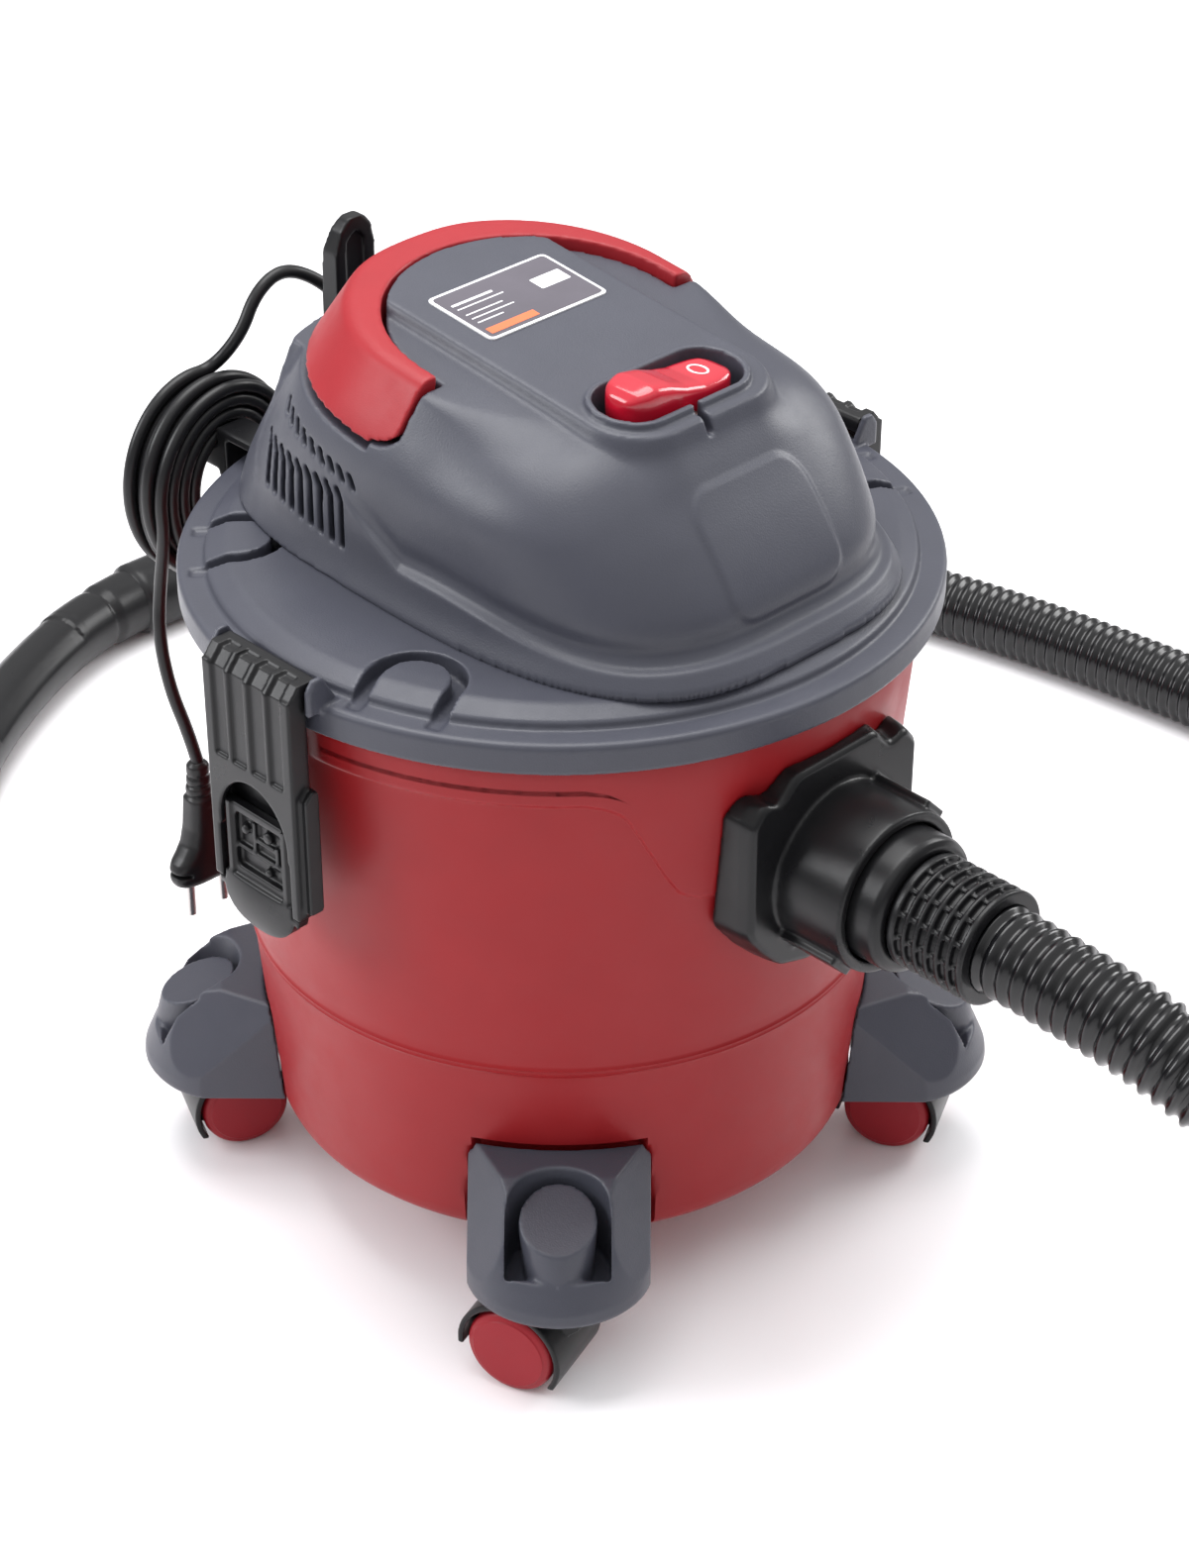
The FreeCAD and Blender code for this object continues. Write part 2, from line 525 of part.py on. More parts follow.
def make_head():
    plate = turned("LidPlate", [
        ("motorHole", "lidEdge - lidWall"),
        ("lidRadius - lidWall", "lidEdge - lidWall"),
        ("lidRadius - lidWall", "lidSkirt"),
        ("lidRadius", "lidSkirt"),
        ("lidRadius", "lidEdge - 3"),
        ("lidRadius - 3", "lidEdge"),
        ("lidRadius - 12", "lidEdge + 1"),
        ("lidRadius - 18", "lidTop"),
        ("motorHole", "lidTop"),
    ])
    slots = []
    fins = []
    for number, side in enumerate((-1, 1)):
        inner = "lidRadius - 9" if side > 0 else "-(lidRadius + 1)"
        slots.append(block("LatchSeat%d" % number, "10", "2 * latchHalfWidth + 2", "20",
                           x=inner, y="-latchHalfWidth - 1", z="lidEdge - 0.5"))
        for place in (-1, 1):
            fin = block("LatchFin%d%d" % (number, place + 1), "14", "2.5", "16",
                        x="%s - 7" % ("latchPivot" if side > 0 else "-latchPivot"),
                        y="latchHalfWidth + 1.0" if place > 0 else "-latchHalfWidth - 3.5",
                        z="lidEdge - lidWall")
            fins.append(fin)
    pins = [rod("LatchPinHole%d" % i, "2", "2 * latchHalfWidth + 7.2", z="latchPivotZ",
                x="latchPivot" if side > 0 else "-latchPivot", y="latchHalfWidth + 3.6",
                turn=((1, 0, 0), 90)) for i, side in enumerate((-1, 1))]
    keep(cut("Lid", fuse("LidBody", cut("LidCut", plate, *slots), *fins), *pins), "lid")
    pin_solids = [rod("LatchPin%d" % i, "2", "2 * latchHalfWidth + 7", z="latchPivotZ",
                      x="latchPivot" if side > 0 else "-latchPivot", y="latchHalfWidth + 3.5",
                      turn=((1, 0, 0), 90)) for i, side in enumerate((-1, 1))]
    keep(fuse("LatchPins", *pin_solids), "latch_pins")
    keep(turned("LidSeal", [
        ("drumTopRadius - drumWall - 2", "drumTop"), ("drumTopRadius + rimWidth", "drumTop"),
        ("drumTopRadius + rimWidth", "lidEdge - lidWall"),
        ("drumTopRadius - drumWall - 2", "lidEdge - lidWall")]), "lid_seal")
    outer = dome_block(0.0)
    core = dim("handleInner") - dim("handleGap")
    drop = dim("handleDrop")
    nose = dim("handleNose")
    wall = dim("domeWall")
    zone = handle_zone(core, drop + 2.5, nose + 2.0)
    inner = dome_block(wall, top_drop=wall)
    thick_zone = handle_zone(core - wall, drop + 2.5 + wall, nose + 2.0 + wall)
    shell = outer.cut(zone).cut(inner.cut(thick_zone))
    pocket = well(0.0, 16.0)
    shell = shell.fuse(well(2.5, 18.5).common(outer)).cut(pocket)
    y = dim("handlePivotY")
    z = dim("handlePivotZ")
    for side in (-1, 1):
        start = Vector(side * (dim("handleInner") - 12), y, z)
        boss = Part.makeCylinder(7, 9.0, start, Vector(side, 0, 0))
        hole = Part.makeCylinder(dim("handlePin"), 40, start - Vector(side, 0, 0),
                                 Vector(side, 0, 0))
        shell = shell.fuse(boss.common(inner)).cut(hole)
    gland = Part.makeCylinder(8, 40, Vector(26, 100, 352), Vector(0, 1, 0))
    shell = shell.cut(gland)
    for side in (-1, 1):
        for i in range(7):
            slot = Part.makeBox(20, 4.5, 30, Vector(-10, -2.25, 0))
            slot.translate(Vector(side * 95, 34 + 9 * i, 330))
            shell = shell.cut(slot)
    placed("dome", shell, (0, 0, 0))
    pins = []
    for side in (-1, 1):
        start = Vector(side * (dim("handleInner") - 11), y, z)
        pins.append(Part.makeCylinder(dim("handlePin"), 21, start, Vector(side, 0, 0)))
    placed("handle_pins", Part.makeCompound(pins), (0, 0, 0))
    handle = dome_block(0.0).common(handle_zone(dim("handleInner"), drop, nose))
    for side in (-1, 1):
        hole = Part.makeCylinder(dim("handlePin") + dim("running"), 22,
                                 Vector(side * (dim("handleInner") - 11), y, z),
                                 Vector(side, 0, 0))
        handle = handle.cut(hole)
    placed("carry_handle", handle, (0, 0, 0))
    plate = Part.makeBox(65, 39, 1.2, Vector(-32.5, -19.5, 0))
    slope = dim("roofSlope")
    plate.rotate(Vector(0, 0, 0), Vector(1, 0, 0), slope)
    label_y = 25
    plate.translate(Vector(0, label_y, dim("roofHeight")
                           + label_y * math.tan(math.radians(slope))))
    placed("label_plate", plate, (0, 0, 0))


def well(margin, depth):
    """The stadium-shaped well of the rocker switch."""
    length = dim("wellLength") + 2 * margin
    width = dim("wellWidth") + 2 * margin
    y = dim("rockerY")
    top = 440
    base = 402.5 - depth
    round_at = length / 2 - width / 2
    solid = Part.makeBox(2 * round_at, width, top - base, Vector(-round_at, y - width / 2, base))
    for side in (-1, 1):
        solid = solid.fuse(Part.makeCylinder(width / 2, top - base,
                                             Vector(side * round_at, y, base)))
    return solid.removeSplitter()


def make_switch():
    y = dim("rockerY")
    z = dim("rockerZ")
    half = dim("rockerLength") / 2
    width = dim("rockerWidth")
    profile = Part.BSplineCurve()
    profile.interpolate([Vector(-half, 0, 15.5), Vector(-half * 0.55, 0, 21.5),
                         Vector(0, 0, 15.0), Vector(half * 0.5, 0, 12.5),
                         Vector(half, 0, 13.5)])
    sides = Part.makePolygon([Vector(half, 0, 13.5), Vector(half - 3, 0, 8.0),
                              Vector(9, 0, -1.0), Vector(-9, 0, -1.0),
                              Vector(-half + 3, 0, 7.0), Vector(-half, 0, 15.5)])
    face = Part.Face(Part.Wire([profile.toShape()] + sides.Edges))
    rocker = face.extrude(Vector(0, width, 0))
    rocker.translate(Vector(0, y - width / 2, z))
    rocker = rocker.cut(Part.makeCylinder(2.05, width + 2, Vector(0, y - width / 2 - 1, z + 3),
                                          Vector(0, 1, 0)))
    placed("rocker", rocker, (0, 0, 0))
    pin = Part.makeCylinder(2.0, dim("wellWidth"), Vector(0, y - dim("wellWidth") / 2, z + 3),
                            Vector(0, 1, 0))
    placed("rocker_pin", pin, (0, 0, 0))
    placed("switch_body", Part.makeBox(40, 24, 20, Vector(-20, y - 12, 363.5)), (0, 0, 0))


# ---------------------------------------------------------------- motor, fan, filter, float
def make_motor():
    keep(turned("MotorCase", [
        ("0", "lidTop + 63"), ("42", "lidTop + 63"), ("46", "lidTop + 57"),
        ("46", "lidTop + 22"), ("72", "lidTop + 18"), ("72", "lidTop + 1"),
        ("69", "lidTop + 1"), ("69", "lidTop + 15"), ("43", "lidTop + 19"),
        ("43", "lidTop + 22"), ("5", "lidTop + 22"), ("5", "lidTop + 26"),
        ("0", "lidTop + 26")]), "motor")
    keep(turned("MotorGasket", [
        ("58", "lidTop"), ("72", "lidTop"), ("72", "lidTop + 1"), ("58", "lidTop + 1")]),
        "motor_gasket")
    keep(turned("Impeller", [
        ("0", "lidTop + 4"), ("66", "lidTop + 4"), ("66", "lidTop + 5.5"),
        ("12", "lidTop + 5.5"), ("66", "lidTop + 10"), ("66", "lidTop + 12"),
        ("8", "lidTop + 14"), ("8", "lidTop + 20"), ("4.9", "lidTop + 20"),
        ("4.9", "lidTop + 25.8"), ("0", "lidTop + 25.8")]), "impeller")
    keep(turned("FloatCage", [
        ("44", "lidEdge - lidWall"), ("88", "lidEdge - lidWall"), ("88", "lidEdge - lidWall - 2"),
        ("47", "lidEdge - lidWall - 2"), ("47", "255"), ("0", "255"), ("0", "257"),
        ("44", "257")]), "float_cage")
    cork = doc.addObject("Part::Sphere", "FloatBallSphere")
    bind(cork, Radius="22")
    move(cork, z="279.3")
    keep(cork, "float_ball")
    keep(turned("FilterSleeve", [
        ("50", "250"), ("60", "250"), ("66", "300"), ("66", "lidEdge - lidWall - 2.2"),
        ("52", "lidEdge - lidWall - 2.2"), ("52", "300")]), "filter")
    keep(turned("FilterBase", [
        ("0", "246"), ("62", "246"), ("62", "250"), ("0", "250")]), "filter_cap")


# ---------------------------------------------------------------- latches
def make_latch(side, name):
    """One latch on the +X or -X side: a hook piece on the lid and a tongue below it."""
    sign = "" if side > 0 else "-"
    half = "latchHalfWidth"

    def at(low, high):
        """The lower X end of a box that spans two distances from the drum's axis."""
        return low if side > 0 else "-(%s)" % high

    top = block(name + "Top", "latchFace - latchPivot", "2 * " + half, "5",
                x=at("latchPivot", "latchFace"), y="-" + half, z="latchPivotZ - 2.5")
    hub = rod(name + "Hub", "3.6", "2 * " + half, x=sign + "(latchPivot)", y=half,
              z="latchPivotZ", turn=((1, 0, 0), 90))
    face = block(name + "Face", "4", "2 * " + half, "58", x=at("latchFace - 4", "latchFace"),
                 y="-" + half, z="latchPivotZ - 55.5")
    arms = [block("%sArm%d" % (name, i), "10", "4", "102", x=at("latchFace - 10", "latchFace"),
                  y=where, z="latchPivotZ - 104")
            for i, where in enumerate(("-" + half, half + " - 4"))]
    bore = rod(name + "Bore", "2 + running", "2 * %s + 2" % half, x=sign + "(latchPivot)",
               y=half + " + 1", z="latchPivotZ", turn=((1, 0, 0), 90))
    pin_hole = rod(name + "PinHole", "1.5", "2 * %s + 2" % half,
                   x=sign + "(latchFace - 5)", y=half + " + 1", z="tonguePivotZ",
                   turn=((1, 0, 0), 90))
    hook = cut(name + "Hook", fuse(name + "HookBody", top, hub, face, *arms), bore, pin_hole)
    keep(hook, name + "_hook")
    pin = rod(name + "Pin", "1.5", "2 * " + half, x=sign + "(latchFace - 5)", y=half,
              z="tonguePivotZ", turn=((1, 0, 0), 90))
    keep(pin, name + "_pin")
    plate = block(name + "Plate", "7", "2 * %s - 9" % half, "60",
                  x=at("latchFace - 8", "latchFace - 1"), y="-%s + 4.5" % half,
                  z="tonguePivotZ - 50")
    foot = rod(name + "Foot", half + " - 5.5", "7", x=at("latchFace - 8", "latchFace - 1"),
               y="0", z="tonguePivotZ - 32", turn=((0, 1, 0), 90))
    upper = block(name + "Upper", "30", "2 * " + half, "60", x=at("latchFace - 20",
                  "latchFace + 10"), y="-" + half, z="tonguePivotZ - 32")
    window = block(name + "Window", "30", "28", "22", x=at("latchFace - 20", "latchFace + 10"),
                   y="-14", z="tonguePivotZ - 26")
    tongue_bore = rod(name + "TongueBore", "1.5 + running", "2 * " + half,
                      x=sign + "(latchFace - 5)", y=half, z="tonguePivotZ",
                      turn=((1, 0, 0), 90))
    shape = fuse(name + "TongueBody", common(name + "TonguePlate", plate, upper), foot)
    keep(cut(name + "Tongue", shape, window, tongue_bore), name + "_tongue")


# ---------------------------------------------------------------- hooks, gland, screws
def make_rear():
    top = padded("HookTop", "YZ_Plane", [
        ("128", "336"), ("146", "336"), ("146", "352"), ("141", "362"), ("139", "400"),
        ("134", "416"), ("128", "416"), ("130", "400"), ("131", "362")], "22")
    bore = rod("HookBore", "8.2", "40", x="26", y="170", z="352", turn=((1, 0, 0), 90))
    move(top, x="4")
    limit = shape_part("HookLimit", dome_block(-0.3))
    keep(cut("UpperHook", top, limit, bore), "cord_hook_upper")
    strap = block("LowerStrap", "16", "43", "4", x="coilX - 8", y="coilY - 56",
                  z="lidTop + 0.2")
    plate = block("LowerPlate", "16", "6.5", "24", x="coilX - 8", y="coilY - 19",
                  z="lidTop - 19.8")
    prong = block("LowerProng", "16", "34", "13", x="coilX - 8", y="coilY - 19",
                  z="coilZ + 10")
    lip = block("LowerLip", "16", "4.5", "26", x="coilX - 8", y="coilY + 12.5",
                z="coilZ + 3")
    body = fuse("LowerHookBody", strap, plate, prong, lip)
    keep(cut("LowerHook", body, limit), "cord_hook_lower")
    gland = rod("Gland", "8", "20", x="26", y="140", z="352", turn=((1, 0, 0), 90))
    keep(gland, "cord_gland")


def main():
    make_drum()
    make_casters()
    make_inlet()
    make_hose()
    make_cord()
    make_head()
    make_switch()
    make_motor()
    make_latch(-1, "latch_left")
    make_latch(1, "latch_right")
    make_rear()
    doc.recompute()
    failed = [o.Label for o in doc.Objects if {"Invalid", "Error"} & set(o.State)]
    for obj in PARTS:
        if obj.Shape.isNull() or not obj.Shape.isValid() or not obj.Shape.Solids:
            failed.append(obj.Label + " (shape)")
    if failed:
        raise SystemExit("failed: %s" % ", ".join(failed))
    os.makedirs("parts", exist_ok=True)
    for obj in PARTS:
        obj.Shape.exportStep("parts/%s.step" % obj.Label)
        box = obj.Shape.BoundBox
        print("%-28s solids %d volume %9.0f  x %.0f..%.0f y %.0f..%.0f z %.0f..%.0f" % (
            obj.Label, len(obj.Shape.Solids), obj.Shape.Volume, box.XMin, box.XMax,
            box.YMin, box.YMax, box.ZMin, box.ZMax))
    print("%d sub-parts" % len(PARTS))


main()
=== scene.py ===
import json
import math

import bmesh
import bpy
import numpy as np
from mathutils import Matrix, Vector


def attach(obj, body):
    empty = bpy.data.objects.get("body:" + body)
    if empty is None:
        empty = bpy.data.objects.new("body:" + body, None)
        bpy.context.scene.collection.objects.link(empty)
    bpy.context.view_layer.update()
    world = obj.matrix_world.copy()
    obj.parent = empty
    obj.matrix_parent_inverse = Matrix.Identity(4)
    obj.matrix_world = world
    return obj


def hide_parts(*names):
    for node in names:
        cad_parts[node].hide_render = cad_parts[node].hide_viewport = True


# The looks of the shop vacuum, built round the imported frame. Shapes are written in millimetres
# and go into the meshes in metres. +Z is up, the hose inlet faces -Y, the latches are at -X and +X.

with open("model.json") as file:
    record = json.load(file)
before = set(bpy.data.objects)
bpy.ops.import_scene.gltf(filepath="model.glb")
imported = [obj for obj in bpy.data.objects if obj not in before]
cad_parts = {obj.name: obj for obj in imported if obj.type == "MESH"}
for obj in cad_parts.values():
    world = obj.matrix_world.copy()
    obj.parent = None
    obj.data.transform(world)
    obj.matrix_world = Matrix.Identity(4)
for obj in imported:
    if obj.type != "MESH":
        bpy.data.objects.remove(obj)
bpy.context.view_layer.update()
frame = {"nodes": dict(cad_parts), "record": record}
MM = 0.001

# Sizes that the pieces share, in millimetres
DRUM_BASE, DRUM_TOP = 43.0, 303.0
DRUM_BASE_RADIUS, DRUM_TOP_RADIUS = 130.0, 151.5
DRUM_RADIUS_AT_FEET = 136
INLET_Z = 227.0
LID_TOP = 318.0
DOME_WIDTH, DOME_LENGTH, DOME_POWER = 98.0, 141.0, 3.2
ROOF_Z, ROOF_TILT = 410.0, math.radians(6.5)
HANDLE_Y, HANDLE_Z = 14.0, 401.0
ROCKER_Y, ROCKER_FOOT, ROCKER_HALF = -64.0, 393.0, 29.5
ROCKER_MIDDLE = (-2.0, -62.5)
GLAND_X, GLAND_Z = 26.0, 352.0
LATCH_U, LATCH_Z = 157.5, 318.0
POST_RADIUS, TRAIL, WHEEL = 166.0, 14.0, 20.0
CASTERS = {"front_left": (225.0, -72.0), "front_right": (315.0, -63.0),
           "rear_left": (135.0, 156.0), "rear_right": (45.0, 100.0)}


def placed(name, data):
    """A new object in the scene."""
    made = bpy.data.objects.new(name, data)
    bpy.context.scene.collection.objects.link(made)
    return made


def aimed(thing, place, target):
    thing.location = place
    way = Vector(target) - Vector(place)
    thing.rotation_euler = way.to_track_quat("-Z", "Y").to_euler()


def fill(node, values):
    """Sets a node's inputs."""
    for name, value in values.items():
        node.inputs[name].default_value = value


# ---- camera, light and floor
def make_camera():
    data = bpy.data.cameras.new("Camera")
    data.lens = 79.55
    data.clip_start, data.clip_end = 0.05, 30
    camera = placed("Camera", data)
    aimed(camera, (-0.8770, -0.9120, 1.0120), (0.00965, -0.0095, 0.1903))
    bpy.context.scene.camera = camera


def area_light(name, place, target, size, power, colour=(1, 1, 1)):
    data = bpy.data.lights.new(name, "AREA")
    data.size = size
    data.energy = power
    data.color = colour
    aimed(placed(name, data), place, target)


def make_studio():
    world = bpy.data.worlds.new("Studio")
    world.use_nodes = True
    tree = world.node_tree
    place = tree.nodes.new("ShaderNodeTexCoord")
    split = tree.nodes.new("ShaderNodeSeparateXYZ")
    tree.links.new(place.outputs["Generated"], split.inputs["Vector"])
    back = tree.nodes["Background"]
    fill(back, {"Color": (1, 1, 1, 1)})
    tree.links.new(ranged(tree, split.outputs["Z"], 0.22, 1.15, 0.0, 0.75),
                   back.inputs["Strength"])
    bpy.context.scene.world = world
    bpy.context.scene.view_settings.view_transform = "Standard"
    area_light("Top", (0.1, 0.4, 2.0), (0, 0, 0.2), 1.4, 34)
    area_light("RearLeft", (-1.6, 1.2, 1.3), (0, 0, 0.3), 1.0, 26, (0.97, 0.98, 1.0))
    area_light("Right", (1.8, -0.4, 1.2), (0, 0, 0.25), 0.9, 20)
    half, low = 4000.0, -0.3
    floor = solid([(-half, -half, low), (half, -half, low), (half, half, low), (-half, half, low)],
                  [(0, 1, 2, 3)])
    floor.name = "floor"
    material = bpy.data.materials.new("floor")
    _, shader = nodes_of(material)
    fill(shader, {"Base Color": (0.955, 0.945, 0.965, 1), "Roughness": 0.22,
                  "Specular IOR Level": 0.35})
    floor.data.materials.append(material)


# ---- mesh tools
def solid(points, faces):
    """A mesh object from points in millimetres."""
    mesh = bpy.data.meshes.new("piece")
    mesh.from_pydata([(p[0] * MM, p[1] * MM, p[2] * MM) for p in points], [], faces)
    mesh.update()
    return placed("piece", mesh)


def skin(rings, caps=True, wrap=False):
    """A surface through rings of equally many points; caps close its ends, wrap joins them."""
    count = len(rings[0])
    points = [p for ring in rings for p in ring]
    faces = []
    last = len(rings) if wrap else len(rings) - 1
    for i in range(last):
        a = i * count
        b = ((i + 1) % len(rings)) * count
        for k in range(count):
            n = (k + 1) % count
            faces.append((a + k, a + n, b + n, b + k))
    if caps and not wrap:
        faces.append(tuple(reversed(range(count))))
        start = (len(rings) - 1) * count
        faces.append(tuple(range(start, start + count)))
    return outward(solid(points, faces))


def outward(piece):
    work = bmesh.new()
    work.from_mesh(piece.data)
    bmesh.ops.remove_doubles(work, verts=work.verts, dist=1e-6)
    loose = [edge for edge in work.edges if not edge.link_faces]
    bmesh.ops.delete(work, geom=loose, context="EDGES")
    bmesh.ops.recalc_face_normals(work, faces=work.faces)
    work.to_mesh(piece.data)
    work.free()
    return piece


def revolved(profile, segments=96):
    """A closed outline of (radius, height) turned about Z."""
    rings = []
    for i in range(segments):
        angle = 2 * math.pi * i / segments
        rings.append([(r * math.cos(angle), r * math.sin(angle), h) for r, h in profile])
    return skin(rings, wrap=True)


def moved(piece, x=0.0, y=0.0, z=0.0):
    """Moves a piece by millimetres."""
    piece.data.transform(Matrix.Translation((x * MM, y * MM, z * MM)))
    return piece


def turned(piece, degrees, axis):
    piece.data.transform(Matrix.Rotation(math.radians(degrees), 4, axis))
    return piece


def mirrored(piece, side):
    """Puts a piece on the +X side, or turns it over to the -X side."""
    piece.data.transform(Matrix.Scale(side, 4, (1, 0, 0)))
    return outward(piece)


def span(side, near, far):
    """Two distances from the middle plane, as an interval on one side of it."""
    return sorted((side * near, side * far))


def rod(radius, low, high, segments=32):
    """A plain cylinder about Z."""
    return revolved([(0, low), (radius, low), (radius, high), (0, high)], segments)


def gland_rod(radius, low, high):
    """A cylinder on the axis on which the power cord leaves the dome."""
    return moved(turned(rod(radius, low, high, 40), -90, "X"), GLAND_X, 0, GLAND_Z)


def along_inlet(piece):
    """Turns a piece made about +Z so that it lies about the inlet's axis, +Z going to -Y."""
    turn = Matrix.Translation((0, 0, INLET_Z * MM)) @ Matrix.Rotation(math.radians(90), 4, "X")
    piece.data.transform(turn)
    return piece


def squircle(wide, deep, power_x, power_y, count=48):
    """A closed outline between an ellipse and a rectangle."""
    made = []
    for k in range(count):
        a = 2 * math.pi * k / count
        c, s = math.cos(a), math.sin(a)
        made.append((wide * math.copysign(abs(c) ** power_x, c),
                     deep * math.copysign(abs(s) ** power_y, s)))
    return made


PLANES = {"XY": lambda a, b, t: (a, b, t), "XZ": lambda a, b, t: (a, t, b), "YZ": lambda a, b,
          t: (t, a, b)}


def arc(x, y, wide, deep, start, end, count):
    """Points along a part of an ellipse, from one angle to another, in degrees."""
    return [(x + wide * math.cos(t), y + deep * math.sin(t))
            for t in np.linspace(math.radians(start), math.radians(end), count)]


def prism(outline, low, high, plane="XY"):
    place = PLANES[plane]
    return skin([[place(a, b, t) for a, b in outline] for t in (low, high)])


def brick(low, high):
    x, y = low[0], low[1]
    return prism([(x, y), (high[0], y), (high[0], high[1]), (x, high[1])], low[2], high[2])


def rounded(corners, radius, steps=5):
    """A polygon with its corners rounded; radius is one number or one for each corner."""
    made = []
    count = len(corners)
    for i in range(count):
        here = Vector(corners[i])
        r = radius[i] if isinstance(radius, (list, tuple)) else radius
        before = (Vector(corners[i - 1]) - here)
        after = (Vector(corners[(i + 1) % count]) - here)
        if r <= 0:
            made.append(tuple(here))
            continue
        half = before.angle(after) / 2
        reach = min(r / math.tan(half), 0.49 * before.length, 0.49 * after.length)
        start = here + before.normalized() * reach
        end = here + after.normalized() * reach
        for k in range(steps + 1):
            t = k / steps
            made.append(tuple(start.lerp(here, t).lerp(here.lerp(end, t), t)))
    return made


def applied(piece):
    graph = bpy.context.evaluated_depsgraph_get()
    mesh = bpy.data.meshes.new_from_object(piece.evaluated_get(graph))
    piece.modifiers.clear()
    piece.data = mesh
    return piece


def combined(piece, operation, tools):
    for tool in tools:
        change = piece.modifiers.new("boolean", "BOOLEAN")
        change.operation = operation
        change.solver = "MANIFOLD"
        change.object = tool
        applied(piece)
        bpy.data.objects.remove(tool)
    return piece


def cut(piece, *tools):
    return combined(piece, "DIFFERENCE", tools)


def fuse(piece, *tools):
    return combined(piece, "UNION", tools)


def common(piece, *tools):
    return combined(piece, "INTERSECT", tools)


def moulded(piece, voxel=0.9, passes=5, keep=1.0, shift=None):
    """Makes one even mesh of a piece and softens its edges, as on a moulded part."""
    change = piece.modifiers.new("remesh", "REMESH")
    change.mode = "VOXEL"
    change.voxel_size = voxel * MM
    applied(piece)
    if shift is not None:
        displace(piece, shift)
    change = piece.modifiers.new("smooth", "SMOOTH")
    change.factor = 0.5
    change.iterations = passes
    if keep < 1:
        change = piece.modifiers.new("decimate", "DECIMATE")
        change.ratio = keep
    return applied(piece)


def displace(piece, shift):
    """Moves each point along its normal by shift(points), both in millimetres."""
    count = len(piece.data.vertices)
    points = np.empty(count * 3, np.float32)
    normals = np.empty(count * 3, np.float32)
    piece.data.vertices.foreach_get("co", points)
    piece.data.vertex_normals.foreach_get("vector", normals)
    points = points.reshape(-1, 3)
    moved = points + normals.reshape(-1, 3) * (shift(points / MM, normals.reshape(-1, 3))
                                               * MM)[:, None]
    piece.data.vertices.foreach_set("co", moved.astype(np.float32).ravel())
    piece.data.update()


def finished(piece, name, slot, body, replaces=(), sharp=None, paint=None):
    """Names a piece, paints it, shades it and lets it ride on its body.

    The paint is the one of its slot unless another is given. Edges sharper than sharp degrees
    stay sharp.
    """
    piece.name = name
    piece.data.name = name
    piece.data.materials.clear()
    piece.data.materials.append(paint or PAINT[slot])
    piece.data.polygons.foreach_set("use_smooth", [True] * len(piece.data.polygons))
    if sharp:
        piece.data.set_sharp_from_angle(angle=math.radians(sharp))
    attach(piece, body)
    if replaces:
        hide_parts(*replaces)
    return piece


def step(value, low, high):
    """0 below low, 1 above high, and smooth between."""
    t = np.clip((value - low) / (high - low), 0, 1)
    return t * t * (3 - 2 * t)


# ---- materials
def nodes_of(material):
    material.use_nodes = True
    tree = material.node_tree
    return tree, tree.nodes["Principled BSDF"]


def noise(tree, size, detail=2.0, roughness=0.5, stretch=None):
    """Noise whose patches are about size millimetres across."""
    place = tree.nodes.new("ShaderNodeTexCoord")
    texture = tree.nodes.new("ShaderNodeTexNoise")
    fill(texture, {"Scale": 1 / (size * MM), "Detail": detail, "Roughness": roughness})
    source = place.outputs["Object"]
    if stretch:
        mapping = tree.nodes.new("ShaderNodeMapping")
        fill(mapping, {"Scale": stretch})
        tree.links.new(source, mapping.inputs["Vector"])
        source = mapping.outputs["Vector"]
    tree.links.new(source, texture.inputs["Vector"])
    return texture.outputs["Fac"]


def ranged(tree, source, low, high, start=0.3, end=0.7):
    remap = tree.nodes.new("ShaderNodeMapRange")
    fill(remap, {"From Min": start, "From Max": end, "To Min": low, "To Max": high})
    tree.links.new(source, remap.inputs["Value"])
    return remap.outputs["Result"]


def scaled(colour, factor, more=0.0):
    return tuple(min(1.0, c * factor + more) for c in colour)


def mixed(tree, first, second, factor):
    """Mixes a colour, or a socket, with a second colour as the factor's socket says."""
    mix = tree.nodes.new("ShaderNodeMix")
    mix.data_type = "RGBA"
    fill(mix, {"B": (*second, 1)})
    if isinstance(first, tuple):
        fill(mix, {"A": (*first, 1)})
    else:
        tree.links.new(first, mix.inputs["A"])
    tree.links.new(factor, mix.inputs["Factor"])
    return mix.outputs["Result"]


def plastic(name, colour, roughness=0.4, grain=0.12, grain_size=0.55, mottle=0.05, specular=0.5,
            coat=0.0, edge=0.0):
    """A moulded material: broad tone changes, uneven gloss, a pebbled grain and paler edges."""
    material = bpy.data.materials.new(name)
    tree, shader = nodes_of(material)
    broad = noise(tree, 45, 4.0, 0.6)
    result = mixed(tree, scaled(colour, 1 - mottle), scaled(colour, 1 + mottle),
                   ranged(tree, broad, 0, 1))
    if edge:
        geometry = tree.nodes.new("ShaderNodeNewGeometry")
        result = mixed(tree, result, scaled(colour, 1.6, 0.04),
                       ranged(tree, geometry.outputs["Pointiness"], 0, edge, 0.51, 0.6))
    tree.links.new(result, shader.inputs["Base Color"])
    patches = noise(tree, 18, 3.0, 0.6)
    tree.links.new(ranged(tree, patches, roughness * 0.9, roughness * 1.12),
                   shader.inputs["Roughness"])
    fill(shader, {"Specular IOR Level": specular, "Coat Weight": coat, "Coat Roughness": 0.12})
    bump = tree.nodes.new("ShaderNodeBump")
    fill(bump, {"Strength": grain, "Distance": 0.25 * MM})
    tree.links.new(noise(tree, grain_size, 2.0, 0.55), bump.inputs["Height"])
    tree.links.new(bump.outputs["Normal"], shader.inputs["Normal"])
    return material


